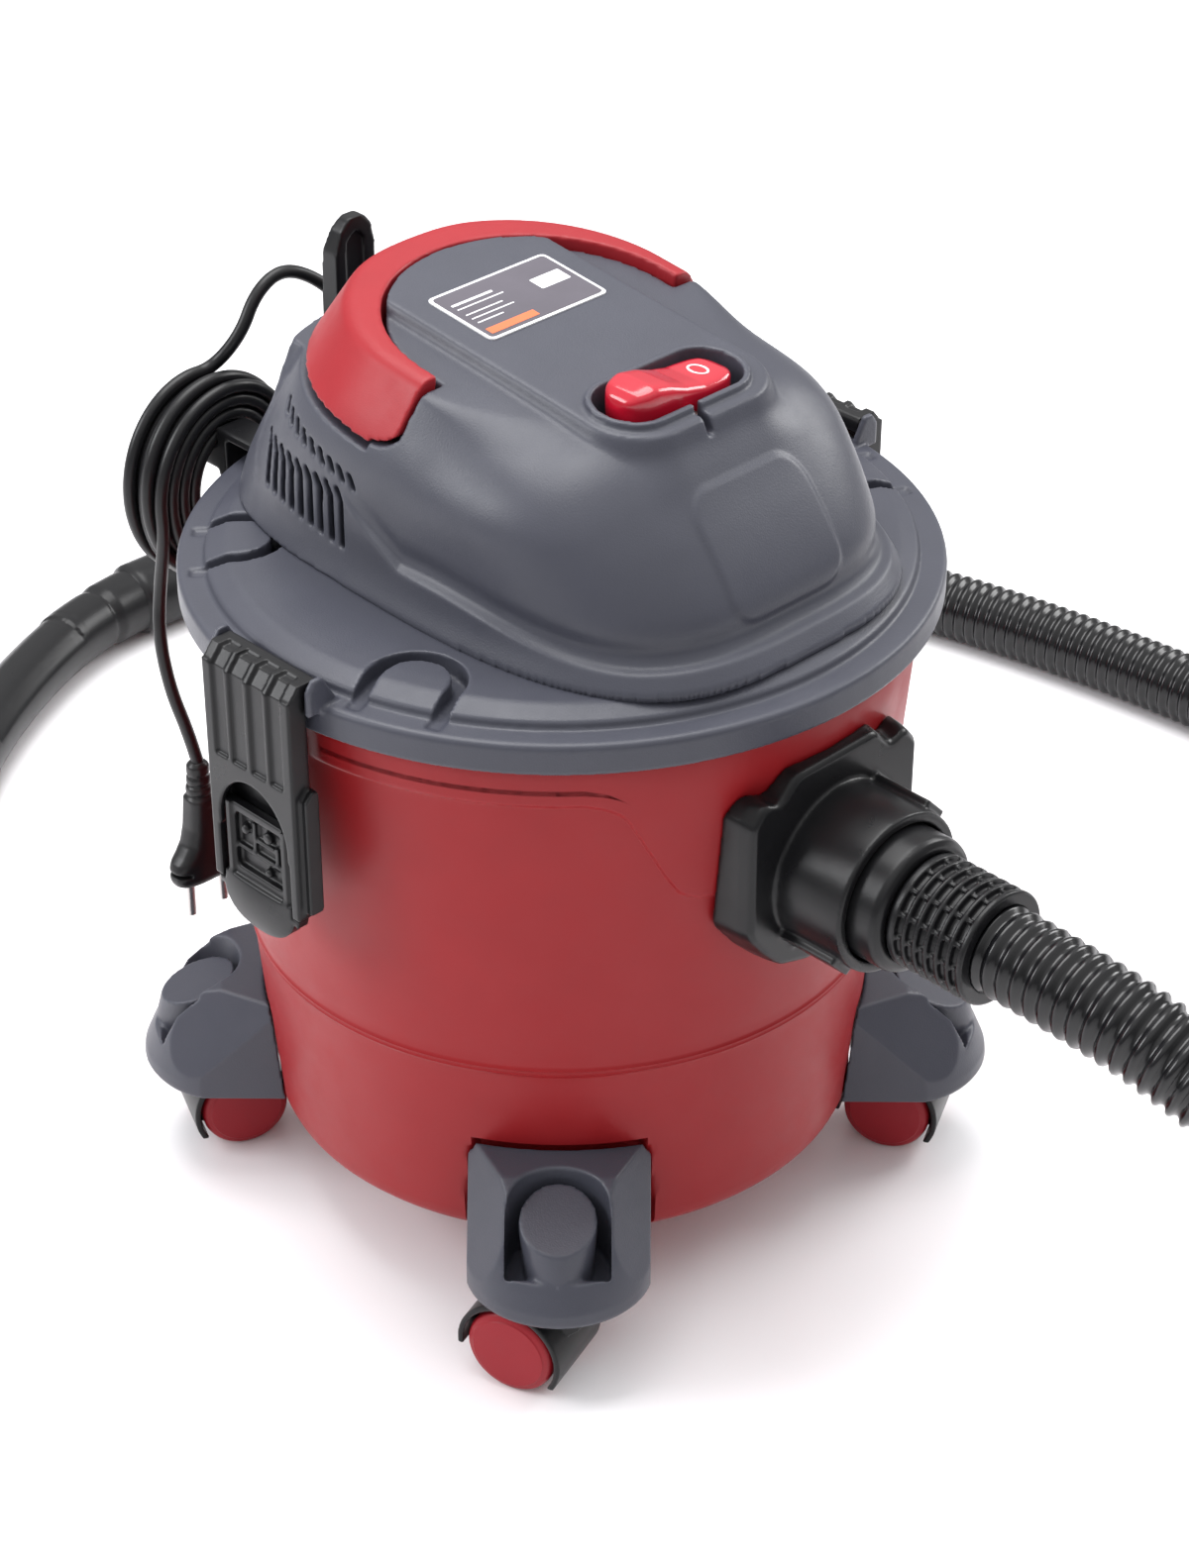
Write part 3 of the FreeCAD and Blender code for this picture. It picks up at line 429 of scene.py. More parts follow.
def metal(name, colour, roughness, stretch=(1, 1, 12)):
    """A plated or stamped metal with fine drawn lines."""
    material = bpy.data.materials.new(name)
    tree, shader = nodes_of(material)
    fill(shader, {"Metallic": 1.0})
    lines = noise(tree, 1.2, 3.0, 0.6, stretch)
    tree.links.new(mixed(tree, scaled(colour, 0.88), colour, ranged(tree, lines, 0, 1)),
                   shader.inputs["Base Color"])
    tree.links.new(ranged(tree, lines, roughness * 0.8, roughness * 1.25),
                   shader.inputs["Roughness"])
    return material


GREY = (0.052, 0.054, 0.071)
RED = (0.285, 0.010, 0.013)
BLACK = (0.0075, 0.0075, 0.0085)
# Each plastic's colour, roughness, grain strength and size, mottle, specular, coat, pale edge
PLASTICS = {
    "drum_red": (RED, 0.40, 0.10, 0.5, 0.04, 0.25),
    "body_grey": (GREY, 0.40, 0.34, 0.75, 0.05, 0.4, 0.0, 0.35),
    "handle_red": ((0.30, 0.014, 0.020), 0.42, 0.22, 0.6, 0.05, 0.3),
    "rocker_red": ((0.46, 0.006, 0.022), 0.16, 0.02, 0.8, 0.03, 0.5, 0.4),
    "wheel_red": ((0.30, 0.010, 0.018), 0.42, 0.10, 0.5, 0.05, 0.3),
    "black_plastic": (BLACK, 0.30, 0.10, 0.6, 0.10, 0.28, 0.0, 0.2),
    "hose_black": ((0.005, 0.005, 0.006), 0.2, 0.05, 1.0, 0.12, 0.45),
    "cord_black": ((0.008, 0.008, 0.009), 0.34, 0.08, 0.5, 0.10, 0.35),
    "seal_rubber": ((0.02, 0.02, 0.02), 0.7, 0.10, 0.4, 0.08, 0.3),
    "label_face": ((0.085, 0.075, 0.095), 0.16, 0.01, 0.8, 0.12, 0.6, 0.3),
    "motor_metal": ((0.10, 0.10, 0.11), 0.5, 0.15, 0.5, 0.08, 0.4),
    "filter_paper": ((0.72, 0.69, 0.60), 0.85, 0.25, 0.4, 0.06, 0.2),
    "float_white": ((0.78, 0.78, 0.75), 0.6, 0.18, 0.9, 0.03, 0.3),
}
PAINT = {name: plastic(name, *values) for name, values in PLASTICS.items()}
PAINT["steel"] = metal("steel", (0.62, 0.60, 0.58), 0.3)
PAINT["fan_metal"] = metal("fan_metal", (0.75, 0.76, 0.78), 0.35, (1, 1, 4))
WHITE_INK = plastic("white_ink", (0.82, 0.82, 0.84), 0.3, 0.01, 0.8, 0.02, 0.5)
ORANGE_INK = plastic("orange_ink", (0.72, 0.16, 0.06), 0.3, 0.01, 0.8, 0.04, 0.5)


# ---- hose and cord
HOSE_ROUTE = [(0, -0.244, 0.227), (0, -0.280, 0.226), (0.003, -0.318, 0.220),
              (0.012, -0.366, 0.199), (0.032, -0.418, 0.157), (0.066, -0.466, 0.103),
              (0.118, -0.505, 0.053), (0.186, -0.527, 0.025), (0.262, -0.520, 0.019),
              (0.338, -0.484, 0.019), (0.402, -0.424, 0.019), (0.450, -0.345, 0.019),
              (0.480, -0.252, 0.019), (0.494, -0.152, 0.019), (0.498, -0.052, 0.019),
              (0.492, 0.048, 0.019), (0.478, 0.146, 0.019), (0.452, 0.240, 0.019),
              (0.414, 0.324, 0.019), (0.362, 0.398, 0.019), (0.304, 0.452, 0.019),
              (0.254, 0.481, 0.020), (0.204, 0.495, 0.021)]
HANDLE_ROUTE = [(0.204, 0.495, 0.021), (0.166, 0.500, 0.021), (0.128, 0.500, 0.0206),
                (0.086, 0.492, 0.020), (0.042, 0.473, 0.0192), (-0.002, 0.448, 0.0184),
                (-0.044, 0.416, 0.0176), (-0.080, 0.380, 0.0176), (-0.1154, 0.3446, 0.0176)]
CORD_TO_COIL = [(0.026, 0.140, 0.352), (0.026, 0.150, 0.353), (0.024, 0.162, 0.358),
                (0.015, 0.172, 0.370), (0.000, 0.176, 0.377), (-0.015, 0.176, 0.370),
                (-0.025, 0.175, 0.354)]
CORD_TO_PLUG = [(-0.079, 0.175, 0.248), (-0.083, 0.173, 0.226), (-0.082, 0.169, 0.200),
                (-0.076, 0.166, 0.176), (-0.073, 0.165, 0.160)]
HOSE_PITCH = 6.7
HOSE_STEPS = 6
CUFF_POINTS = 34
GRIP_START = 8
CORD_D = 6.0


def route_curve(name, points, depth):
    data = bpy.data.curves.new(name, "CURVE")
    data.dimensions = "3D"
    data.resolution_u = 10
    data.bevel_depth = depth
    data.bevel_resolution = 5
    data.use_fill_caps = True
    spline = data.splines.new("NURBS")
    spline.points.add(len(points) - 1)
    for control, point in zip(spline.points, points):
        control.co = (*point, 1)
    spline.order_u = 3
    spline.use_endpoint_u = True
    return placed(name, data)


def line_of(points, spacing):
    """Evenly spaced points, in millimetres, along the smooth line of a route."""
    bare = route_curve("bare", points, 0)
    mesh = bpy.data.meshes.new_from_object(bare)
    line = np.array([v.co for v in mesh.vertices]) / MM
    bpy.data.objects.remove(bare)
    along = np.concatenate([[0], np.cumsum(np.linalg.norm(np.diff(line, axis=0), axis=1))])
    count = max(2, round(along[-1] / spacing) + 1)
    at = np.linspace(0, along[-1], count)
    return np.stack([np.interp(at, along, line[:, k]) for k in range(3)], axis=1), at


def swept(line, radii, segments=32):
    """A tube along a line, with a radius at each of its points, closed at both ends."""
    ahead = np.gradient(line, axis=0)
    ahead /= np.linalg.norm(ahead, axis=1)[:, None]
    side = np.cross(ahead[0], (0, 0, 1))
    rings = []
    for point, forward, radius in zip(line, ahead, radii):
        side = side - forward * side.dot(forward)
        side /= np.linalg.norm(side)
        up = np.cross(forward, side)
        rings.append([point + radius * (math.cos(t) * side + math.sin(t) * up)
                      for t in np.linspace(0, 2 * math.pi, segments, endpoint=False)])
    return skin(rings)


def make_hose():
    line, at = line_of(HOSE_ROUTE, HOSE_PITCH / HOSE_STEPS)
    phase = np.cos(2 * math.pi * at / HOSE_PITCH)
    radii = 17.75 + 1.25 * np.sign(phase) * np.abs(phase) ** 0.7
    hose = swept(line, radii)
    finished(hose, "hose_tube", "hose_black", "base", ["hose"])
    cuff_line, cuff_at = (part[:CUFF_POINTS] for part in line_of(HANDLE_ROUTE[:3], 2.0))
    cuff_radii = np.where(cuff_at < 3, 19.6 + cuff_at / 3 * 1.2, 20.8)
    cuff_radii[-2:] = (20.3, 18.4)
    end_cuff = swept(cuff_line, cuff_radii, 48)
    finished(end_cuff, "hose_end_collar", "black_plastic", "base", ["hose_end_cuff"], 40)
    make_grip()


def make_grip():
    """The bent tube at the hose's end, ringed near both ends and flattened along its top."""
    line, at = line_of(HANDLE_ROUTE, 2.0)
    radii = np.full(len(at), 17.4)
    radii += 1.0 * (1 - step(at, 86, 90))
    radii -= 0.9 * (1 - step(np.abs(at - 92), 0, 2.5))
    radii += 1.0 * step(at, at[-1] - 52, at[-1] - 48) - 1.0 * step(at, at[-1] - 46, at[-1] - 42)
    grip = swept(line[GRIP_START:], radii[GRIP_START:], 64)
    tip = (line[-1] - line[-2]) / np.linalg.norm(line[-1] - line[-2])
    bore_line = np.vstack([line[GRIP_START:], line[-1] + tip * 4])
    cut(grip, swept(bore_line, np.full(len(bore_line), 15.0), 48))

    def shift(points, normals):
        near = np.argmin(((points[:, None, :] - line[None, ::3, :]) ** 2).sum(2), axis=1)
        where = at[::3][near]
        top = step(normals[:, 2], 0.25, 0.75)
        inside = step(where, 118, 128) * (1 - step(where, 232, 242))
        return -1.3 * top * inside

    moulded(grip, 1.0, 3, 0.7, shift)
    finished(grip, "hose_handle", "black_plastic", "base",
                    ["handle_tube"])


COIL = (-43.0, 176.0, 291.0)
COIL_LAYERS = ((9.0, -1.5, 1.0), (3.0, 2.0, -1.5), (-3.0, -1.0, 2.0), (-9.0, 1.5, -1.0))
COIL_TURNS = 15
COIL_STEPS = 16


def coil_slot(turn):
    """The half width, half height, depth and middle of a turn, wound layer by layer."""
    layer, place = divmod(turn, 4)
    row = place if layer % 2 else 3 - place
    depth, shift_x, shift_z = COIL_LAYERS[layer]
    return np.array([21.5 + 6.2 * row, 28.5 + 6.2 * row, depth, shift_x, shift_z])


def coil_points():
    """The wound turns: from the top, over the left side, round to the lower left."""
    made = []
    start, end = 75.0, 360.0 * COIL_TURNS + 195.0
    count = round((end - start) / 360 * COIL_STEPS)
    for i in range(count + 1):
        angle = start + (end - start) * i / count
        turn, share = divmod((angle - start) / 360, 1)
        here = coil_slot(min(int(turn), COIL_TURNS))
        after = coil_slot(min(int(turn) + 1, COIL_TURNS))
        blend = float(step(np.array(share), 0.72, 1.0))
        wide, tall, depth, dx, dz = here + (after - here) * blend
        a = math.radians(angle)
        made.append(((COIL[0] + dx + wide * math.cos(a)) * MM, (COIL[1] + depth) * MM,
                     (COIL[2] + dz + tall * math.sin(a)) * MM))
    return made


def make_cord():
    points = CORD_TO_COIL + coil_points() + CORD_TO_PLUG
    cord = route_curve("power_lead", points, CORD_D / 2 * MM)
    cord.data.materials.append(PAINT["cord_black"])
    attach(cord, "head")
    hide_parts("power_cord", "cord_coil")
    x, y, z = (c / MM for c in CORD_TO_PLUG[-1])
    plug = revolved([(0, 0), (3.2, 0), (5.3, -2), (5.4, -6), (4.3, -7), (5.7, -8), (5.8, -11),
                     (4.5, -12), (6.2, -13), (6.4, -16), (5.0, -17), (7.0, -18.5), (7.4, -22),
                     (0, -22)], 40)
    body = []
    for low, wide, deep in ((-19, 7.2, 7.0), (-24, 7.6, 7.2), (-34, 8.6, 7.6), (-42, 10.8, 8.0),
                          (-47, 14.4, 8.3), (-50, 17.2, 8.4), (-53, 18.4, 8.4),
                          (-59, 18.4, 8.4), (-61.4, 17.4, 7.6), (-62, 16.0, 6.6)):
        body.append([(a, b, low) for a, b in squircle(wide, deep, 0.75, 0.75)])
    fuse(plug, skin(body))
    for x_lip in (-18, 18):
        cut(plug, brick((x_lip - 6, -10, -56.4), (x_lip + 6, 10, -54.4)))
    moulded(plug, 0.6, 4)
    moved(plug, x, y, z)
    finished(plug, "mains_plug", "cord_black", "head", ["plug"])
    for name, side in (("left", -9.5), ("right", 9.5)):
        pin = revolved([(0, -58), (2.4, -58), (2.4, -80.2), (1.6, -81), (0, -81)], 24)
        moved(pin, x + side, y, z)
        finished(pin, "plug_pin_" + name, "steel", "head", (), 40)
    relief = revolved([(0, 0), (6.6, 0), (6.4, 8), (5.4, 9), (5.8, 11), (5.2, 16), (4.6, 17),
                       (4.9, 19), (4.2, 25), (3.4, 26), (0, 26)], 32)
    moved(turned(relief, -90, "X"), GLAND_X, 130, GLAND_Z)
    finished(relief, "strain_relief", "seal_rubber", "head", (), 50)
    _, at = line_of(points, 3.0)


# ---- drum
EMBOSS_LINE = [(-180, 277), (-131, 277), (-127.5, 275), (-124.5, 270), (-118, 238), (-115.5, 228),
               (-112.5, 224), (-109, 223), (-104, 225), (-60, 225)]


def drum_radius(z):
    return DRUM_BASE_RADIUS + (z - DRUM_BASE) / (DRUM_TOP - DRUM_BASE) * (
        DRUM_TOP_RADIUS - DRUM_BASE_RADIUS)


def drum_room(gap, top):
    """The space that the drum fills, with a gap round it."""
    return revolved([(0, 20), (drum_radius(20) + gap, 20), (drum_radius(top) + gap, top),
                     (0, top)], 180)


def foot_notch(azimuth, z):
    """How deep the drum is let in round a foot, from 0 to 1, at one point."""
    deep = 0.0
    for place, _ in CASTERS.values():
        across = abs((azimuth - place + 180) % 360 - 180) * math.pi / 180 * DRUM_RADIUS_AT_FEET
        edge = 36.6 + 0.10 * max(0.0, 96 - z)
        gap = max(across - edge, z - 96.5)
        deep = max(deep, 1.0 - min(max(gap / 1.2, 0.0), 1.0))
    return deep


def make_drum():
    azimuths = list(np.arange(-180.0, 180.0, 1.0))
    lines = np.interp(azimuths, [a for a, z in EMBOSS_LINE], [z for a, z in EMBOSS_LINE])
    low_rows = [50, 54, 60, 66, 72, 78, 84, 88, 92, 94, 95.4, 96.4, 97.2, 98.0, 99.2, 102, 106,
                114, 124, 131, 135.2, 136.4, 137.2, 138.0, 138.8, 139.6, 140.4, 141.6, 146, 158,
                170, 182, 194, 206]
    rings = []
    for azimuth, line in zip(azimuths, lines):
        a = math.radians(azimuth)
        fade = float(step(np.array(azimuth), -176, -173) * (1 - step(np.array(azimuth), -75, -65)))
        column = [(0.0, DRUM_BASE), (110.0, DRUM_BASE), (122.0, DRUM_BASE + 0.3),
                  (127.0, DRUM_BASE + 1.8), (129.6, DRUM_BASE + 4.6)]
        rows = low_rows + [line + d for d in (-8, -3, -1.6, -0.9, -0.3, 0.3, 0.9, 1.6, 3, 8)]
        rows += list(line + (293 - line) * np.array([0.35, 0.6, 0.8, 1.0]))
        for z in rows:
            bead = sum(0.9 * math.exp(-((z - middle) / 0.7) ** 2) for middle in (137.4, 139.6))
            raised = 1.4 * fade * float(step(np.array(z - line), -1.2, 1.2))
            column.append((drum_radius(z) + bead + raised - 6.0 * foot_notch(azimuth, z), z))
        top = drum_radius(297)
        column += [(top + 0.5, 295.5), (top + 3.0, 297.2), (top + 3.0, 302.6),
                   (top + 2.5, DRUM_TOP), (top - 2.0, DRUM_TOP), (top - 2.6, 302),
                   (drum_radius(112) - 3.2, 112), (drum_radius(106) - 8.5, 106),
                   (drum_radius(60) - 8.5, 60), (116.0, 47.5), (0.0, 46.5)]
        rings.append([(r * math.cos(a), r * math.sin(a), z) for r, z in column])
    drum = skin(rings, wrap=True)
    cut(drum, along_inlet(rod(23, 100, 170, 64)))
    finished(drum, "drum_shell", "drum_red", "base", ["drum"], 50)
    for number, azimuth in enumerate((-106, 106)):
        wall = drum_radius(255)
        seam = turned(brick((wall - 1, -0.25, 229), (wall + 0.2, 0.25, 292)), azimuth, "Z")
        finished(seam, "drum_seam_%d" % number, "drum_red", "base")


# ---- feet and casters
FOOT_MIDDLE, FOOT_HALF = 152.5, 39.8
FOOT_ROOT = 118
SLOT_MIDDLE = 168.5
BOSS_MIDDLE, BOSS_RIM_Z = 166, 78


def make_foot_mesh():
    """One foot, made pointing along +X from the drum's axis.

    Its front is round and falls back as it rises, its flanks are cut flat, and a slot that is
    open in front holds the boss over the caster's stem.
    """
    levels = [(45.7, 190), (48, 192), (53, 191.4), (61, 187.9), (69, 184), (75, 180.3), (82, 176),
              (88, 169.8), (93.2, 162), (95.2, 155), (95.8, 153)]
    rings = []
    for z, front in levels:
        bow = arc(FOOT_MIDDLE, 0, front - FOOT_MIDDLE, FOOT_HALF, -75, 75, 45)
        plan = [(FOOT_ROOT, bow[0][1])] + bow + [(FOOT_ROOT, bow[-1][1])]
        rings.append([(x, y, z) for x, y in plan])
    foot = skin(rings)
    for sign in (-1, 1):
        cut(foot, beyond((0.400, sign * 0.820, 0.409), 119.9))
    slot = revolved([(0, 57), (21.8, 57), (22.3, 120), (0, 120)], 64)
    moved(slot, SLOT_MIDDLE)
    cut(slot, brick((174, -30, 40), (210, 30, 130)))
    mouth = prism([(166, 57), (172, 57), (176, 58.5), (182, 65), (188, 65.5), (205, 78),
                   (205, 120), (166, 120)], -22.1, 22.1, "XZ")
    fuse(slot, mouth)
    cut(foot, slot)
    rings = []
    for z in (46, 54, 62, 70, 78, 95):
        low = min(max((BOSS_RIM_Z - z) / 32, 0.0), 1.0)
        ring = []
        for t in np.linspace(0, 2 * math.pi, 64, endpoint=False):
            ahead = low * (0.5 + 0.5 * math.cos(t))
            x = BOSS_MIDDLE + 16.6 * math.cos(t) + ahead * (7.4 + 0.8 * math.cos(t))
            ring.append((x, (16.2 - 5.4 * ahead) * math.sin(t), z))
        rings.append(ring)
    boss = skin(rings)
    cut(boss, prism([(138, 105), (138, 94.2), (200, 71.6), (200, 105)], -30, 30, "XZ"))
    fuse(foot, boss)
    cut(foot, drum_room(0.3, 120), moved(rod(4, 40, 72.5), POST_RADIUS))
    return moulded(foot, 0.85, 3, 0.5)


def caster_hood_mesh():
    """The hood of one caster, with its stem on Z and its wheels trailing along -X."""
    def disc(radius, half):
        return moved(turned(rod(radius, -half, half, 96), 90, "X"), -TRAIL, 0, WHEEL)

    hood = disc(24.2, 19.6)
    cut(hood, disc(21.6, 21.0))
    cut(hood, brick((-60, -40, -20), (60, 40, 8.0)), brick((-80, -40, -20), (-TRAIL - 2, 40, 17)))
    web = disc(21.9, 5.2)
    cut(web, brick((-60, -40, -20), (60, 40, 5.0)))
    fuse(hood, web)
    neck = revolved([(0, 30), (11.5, 30), (9.6, 45.3), (0, 45.3)], 48)
    for side in (-1, 1):
        cut(neck, moved(disc(21.6, 7.4), y=side * 12.8))
    fuse(hood, neck)
    cut(hood, rod(4.15, 25, 60))
    return moulded(hood, 0.6, 3, 0.55)


def wheel_mesh():
    """One wheel, its hub side at 0 and its outer face at 14 along +Z."""
    profile = [(2.8, 0), (17.6, 0), (18.8, 0.6), (19.6, 1.6), (20.0, 3.0), (20.0, 10.2),
               (19.6, 11.6), (18.6, 12.7), (17.4, 13.0), (16.9, 13.2), (16.4, 13.7), (12.0, 14.0),
               (0, 14.1), (0, 12.0), (2.8, 12.0)]
    return revolved(profile, 96)


def make_casters():
    foot = make_foot_mesh()
    hood = caster_hood_mesh()
    wheel = wheel_mesh()
    for corner, (azimuth, heading) in CASTERS.items():
        turn = Matrix.Rotation(math.radians(azimuth), 4, "Z")
        finished(duplicate(foot, turn), "foot_shell_" + corner, "body_grey", "base",
                 ["foot_" + corner])
        post = Matrix.Translation((POST_RADIUS * MM * math.cos(math.radians(azimuth)),
                                   POST_RADIUS * MM * math.sin(math.radians(azimuth)), 0))
        stand = post @ Matrix.Rotation(math.radians(heading), 4, "Z")
        finished(duplicate(hood, stand), "hood_shell_" + corner, "black_plastic",
                 "caster_" + corner, ["caster_hood_" + corner])
        for name, side in (("outer", 1), ("inner", -1)):
            lie = (Matrix.Translation((-TRAIL * MM, side * 6.0 * MM, WHEEL * MM))
                   @ Matrix.Rotation(math.radians(-90 * side), 4, "X"))
            node = "wheel_%s_%s" % (corner, name)
            finished(duplicate(wheel, stand @ lie), "disc_" + corner + "_" + name, "wheel_red",
                     node, [node], 40)
    for master in (foot, hood, wheel):
        bpy.data.objects.remove(master)


def beyond(normal, distance):
    """A large block that fills the space past a plane."""
    block = brick((-150, -150, 0), (150, 150, 120))
    turn = Vector((0, 0, 1)).rotation_difference(Vector(normal)).to_matrix().to_4x4()
    unit = Vector(normal).normalized()
    block.data.transform(Matrix.Translation(unit * distance * MM) @ turn)
    return block


def duplicate(piece, place):
    made = placed(piece.name, piece.data.copy())
    made.data.transform(place)
    return made


# ---- inlet and hose end
def make_inlet():
    outline = rounded([(-50, 238), (-50, 210), (-40, 197), (-30, 187), (-14, 182), (14, 182),
                       (30, 187), (40, 197), (50, 210), (50, 238), (50, 264), (43, 273),
                       (34, 268.5), (24, 279), (-24, 279), (-34, 268.5), (-43, 273), (-50, 264)],
                      [10, 12, 12, 12, 18, 18, 12, 12, 12, 10, 6, 6, 8, 8, 8, 8, 6, 6])
    rings = []
    for y, scale in ((-110, 1.05), (-150, 0.985), (-155.5, 0.965), (-157, 0.93)):
        rings.append([(x * scale, y, INLET_Z + (z - INLET_Z) * scale) for x, z in outline])
    box = skin(rings)
    cut(box, drum_room(1.9, 310))
    collar = along_inlet(revolved([(0, 148), (36.4, 148), (35.4, 160), (35, 190.4), (34.2, 191),
                                   (0, 191)], 96))
    fuse(box, collar)
    for angle in (-136, 44):
        tab = brick((32, -7, 156), (38.2, 7, 186))
        fuse(box, along_inlet(turned(tab, angle, "Z")))
    fuse(box, along_inlet(rod(22.7, 131, 160, 64)))
    bore = along_inlet(revolved([(0, 120), (21, 120), (21, 160), (30.4, 160.2), (30.4, 196),
                                 (0, 196)], 96))
    cut(box, bore)
    moulded(box, 0.8, 3, 0.6)
    finished(box, "inlet_housing", "black_plastic", "base", ["inlet_box"])
    ring = along_inlet(revolved([(23.2, 162.6), (29.0, 162.6), (29.4, 164), (29.4, 201.5),
                                 (28.6, 203.6), (26.2, 205), (23.2, 205)], 128))
    moulded(ring, 0.6, 2, 0.6)
    finished(ring, "bayonet_sleeve", "black_plastic", "bayonet", ["bayonet_ring"])
    profile = [(18.6, 163), (22.4, 163), (22.4, 205.6), (24.3, 206.2)]
    for i in range(6):
        at = 208 + 5.6 * i
        profile += [(24.5, at), (24.5, at + 1.6), (21.9, at + 2.2), (21.9, at + 5.0)]
    profile += [(24.5, 241.4), (24.5, 243.4), (23.6, 244), (18.6, 244)]
    cuff = along_inlet(revolved(profile, 96))
    webs = 14
    for i in range(webs):
        web = brick((20, -0.9, 207), (23.5, 0.9, 242))
        web.data.transform(Matrix.Rotation(2 * math.pi * i / webs, 4, "Z"))
        fuse(cuff, along_inlet(web))
    moulded(cuff, 0.5, 2, 0.7)
    finished(cuff, "ribbed_cuff", "black_plastic", "base", ["hose_cuff"])


# ---- lid
def make_lid():
    lid = revolved([
        (74, 307.5), (157, 307.5), (157, 297.6), (157.6, 297.5), (159.4, 297.5), (160, 298.1),
        (160.0, 308.6), (159.5, 310.0), (158.2, 310.8), (149.2, 311.0), (148.4, 311.6),
        (148.0, 313.4), (147.2, 314.4), (140.2, 317.2), (138.0, 317.7), (130, 317.9),
        (74, LID_TOP)], 256)
    for azimuth in (41, 139, 201, 339):
        place = (Matrix.Rotation(math.radians(azimuth), 4, "Z")
                 @ Matrix.Translation((134 * MM, 0, 0)))
        wide = arc(0, 0, 20.5, 20.5, 90, 270, 25)
        outer = prism(wide + [(20, -20.5), (20, 20.5)], 309.6, 330)
        tongue = arc(0, 0, 14, 14, 90, 270, 25)
        inner = prism(tongue + [(24, -14), (24, 14)], 300, 340)
        cut(outer, inner)
        outer.data.transform(place)
        cut(lid, outer)
    for side in (-1, 1):
        for place in (-1, 1):
            v = place * 28.3
            fin = prism(rounded([(149, 308), (164.0, 308), (164.0, 318.4), (160.5, 323.4),
                                 (156.0, 323.4), (149, 311.5)], [0, 0, 2, 2, 2, 0]),
                 v - 1.3, v + 1.3, "XZ")
            fuse(lid, mirrored(fin, side))
    moulded(lid, 0.85, 2, 0.40)
    finished(lid, "lid_shell", "body_grey", "head", ["lid"])


# ---- dome and carry handle
DOME_LEVELS = np.array([
    (318, 1.0, 1.0, 1.0), (327, 0.965, 0.95, 0.99), (345, 0.955, 0.900, 0.92),
    (365, 0.952, 0.80, 0.83), (383, 0.940, 0.68, 0.78), (400, 0.90, 0.56, 0.735),
    (416, 0.80, 0.42, 0.67), (436, 0.64, 0.28, 0.58)])


def level_share(z, column):
    """A smooth curve through the levels' values."""
    knots, values = DOME_LEVELS[:, 0], DOME_LEVELS[:, column]
    slopes = np.gradient(values, knots)
    i = np.clip(np.searchsorted(knots, z) - 1, 0, len(knots) - 2)
    width = knots[i + 1] - knots[i]
    t = np.clip((z - knots[i]) / width, 0, 1)
    return ((2 * t ** 3 - 3 * t ** 2 + 1) * values[i]
            + (t ** 3 - 2 * t ** 2 + t) * width * slopes[i]
            + (3 * t ** 2 - 2 * t ** 3) * values[i + 1]
            + (t ** 3 - t ** 2) * width * slopes[i + 1])


def soft_max(a, b, blend):
    near = np.maximum(blend - np.abs(a - b), 0) / blend
    return np.maximum(a, b) + near * near * blend / 4


def dome_side(x, y, z):
    wide = DOME_WIDTH * level_share(z, 1)
    long = DOME_LENGTH * np.where(y < 0, level_share(z, 2), level_share(z, 3))
    ratio = ((np.abs(x) / wide) ** DOME_POWER + (np.abs(y) / long) ** DOME_POWER) ** (
        1 / DOME_POWER)
    return (ratio - 1) * 92


def roof(x, y, z, lift=0.0):
    return (z - ROOF_Z - lift - y * math.tan(ROOF_TILT)) * math.cos(ROOF_TILT)


def shoulder(x, y, z):
    """The slope that the handle's outer face lies on, from a crease along the top's rim."""
    ahead = step(y, -70, 5)
    crease = 50 + 24 * ahead
    spread = np.where(y > 17.7, np.hypot(x, y - 17.7), np.abs(x))
    top = ROOF_Z + y * math.tan(ROOF_TILT)
    return (spread - crease) * (0.46 + 0.39 * ahead) + (z - top) * (0.89 - 0.36 * ahead)


def panel(x, y, z):
    """The raised panel on the top, with sloping sides and a rounded front end."""
    half, front, corner = 45.0, -86.0, 24.0
    dx = np.abs(x) - (half - corner)
    dy = np.maximum(front + corner - y, -200)
    away = np.hypot(np.maximum(dx, 0), np.maximum(dy, 0)) + np.minimum(np.maximum(dx, dy), 0)
    away -= corner
    drop = np.maximum(-roof(x, y, z), 0)
    top = soft_max(roof(x, y, z, 0.8), away * 0.90 - drop * 0.38, 1.4)
    return np.where(y > 0, np.maximum(top, dome_side(x, y, z)), top)


def dome_body(x, y, z):
    ahead = step(y, -60, 5)
    crown = roof(x, y, z, -4.2) + 0.0016 * np.maximum(np.abs(x) - 30, 0) ** 2 * (1 - ahead)
    top = soft_max(crown, shoulder(x, y, z), 10 - 7 * ahead)
    body = soft_max(dome_side(x, y, z), top, 14 - 7 * ahead)
    raised = panel(x, y, z)
    return -soft_max(-body, -raised, 1.4 + 8.6 * step(-y, 78, 96))


def handle_body(x, y, z):
    top = soft_max(roof(x, y, z), shoulder(x, y, z), 4)
    return soft_max(dome_side(x, y, z), top, 6)


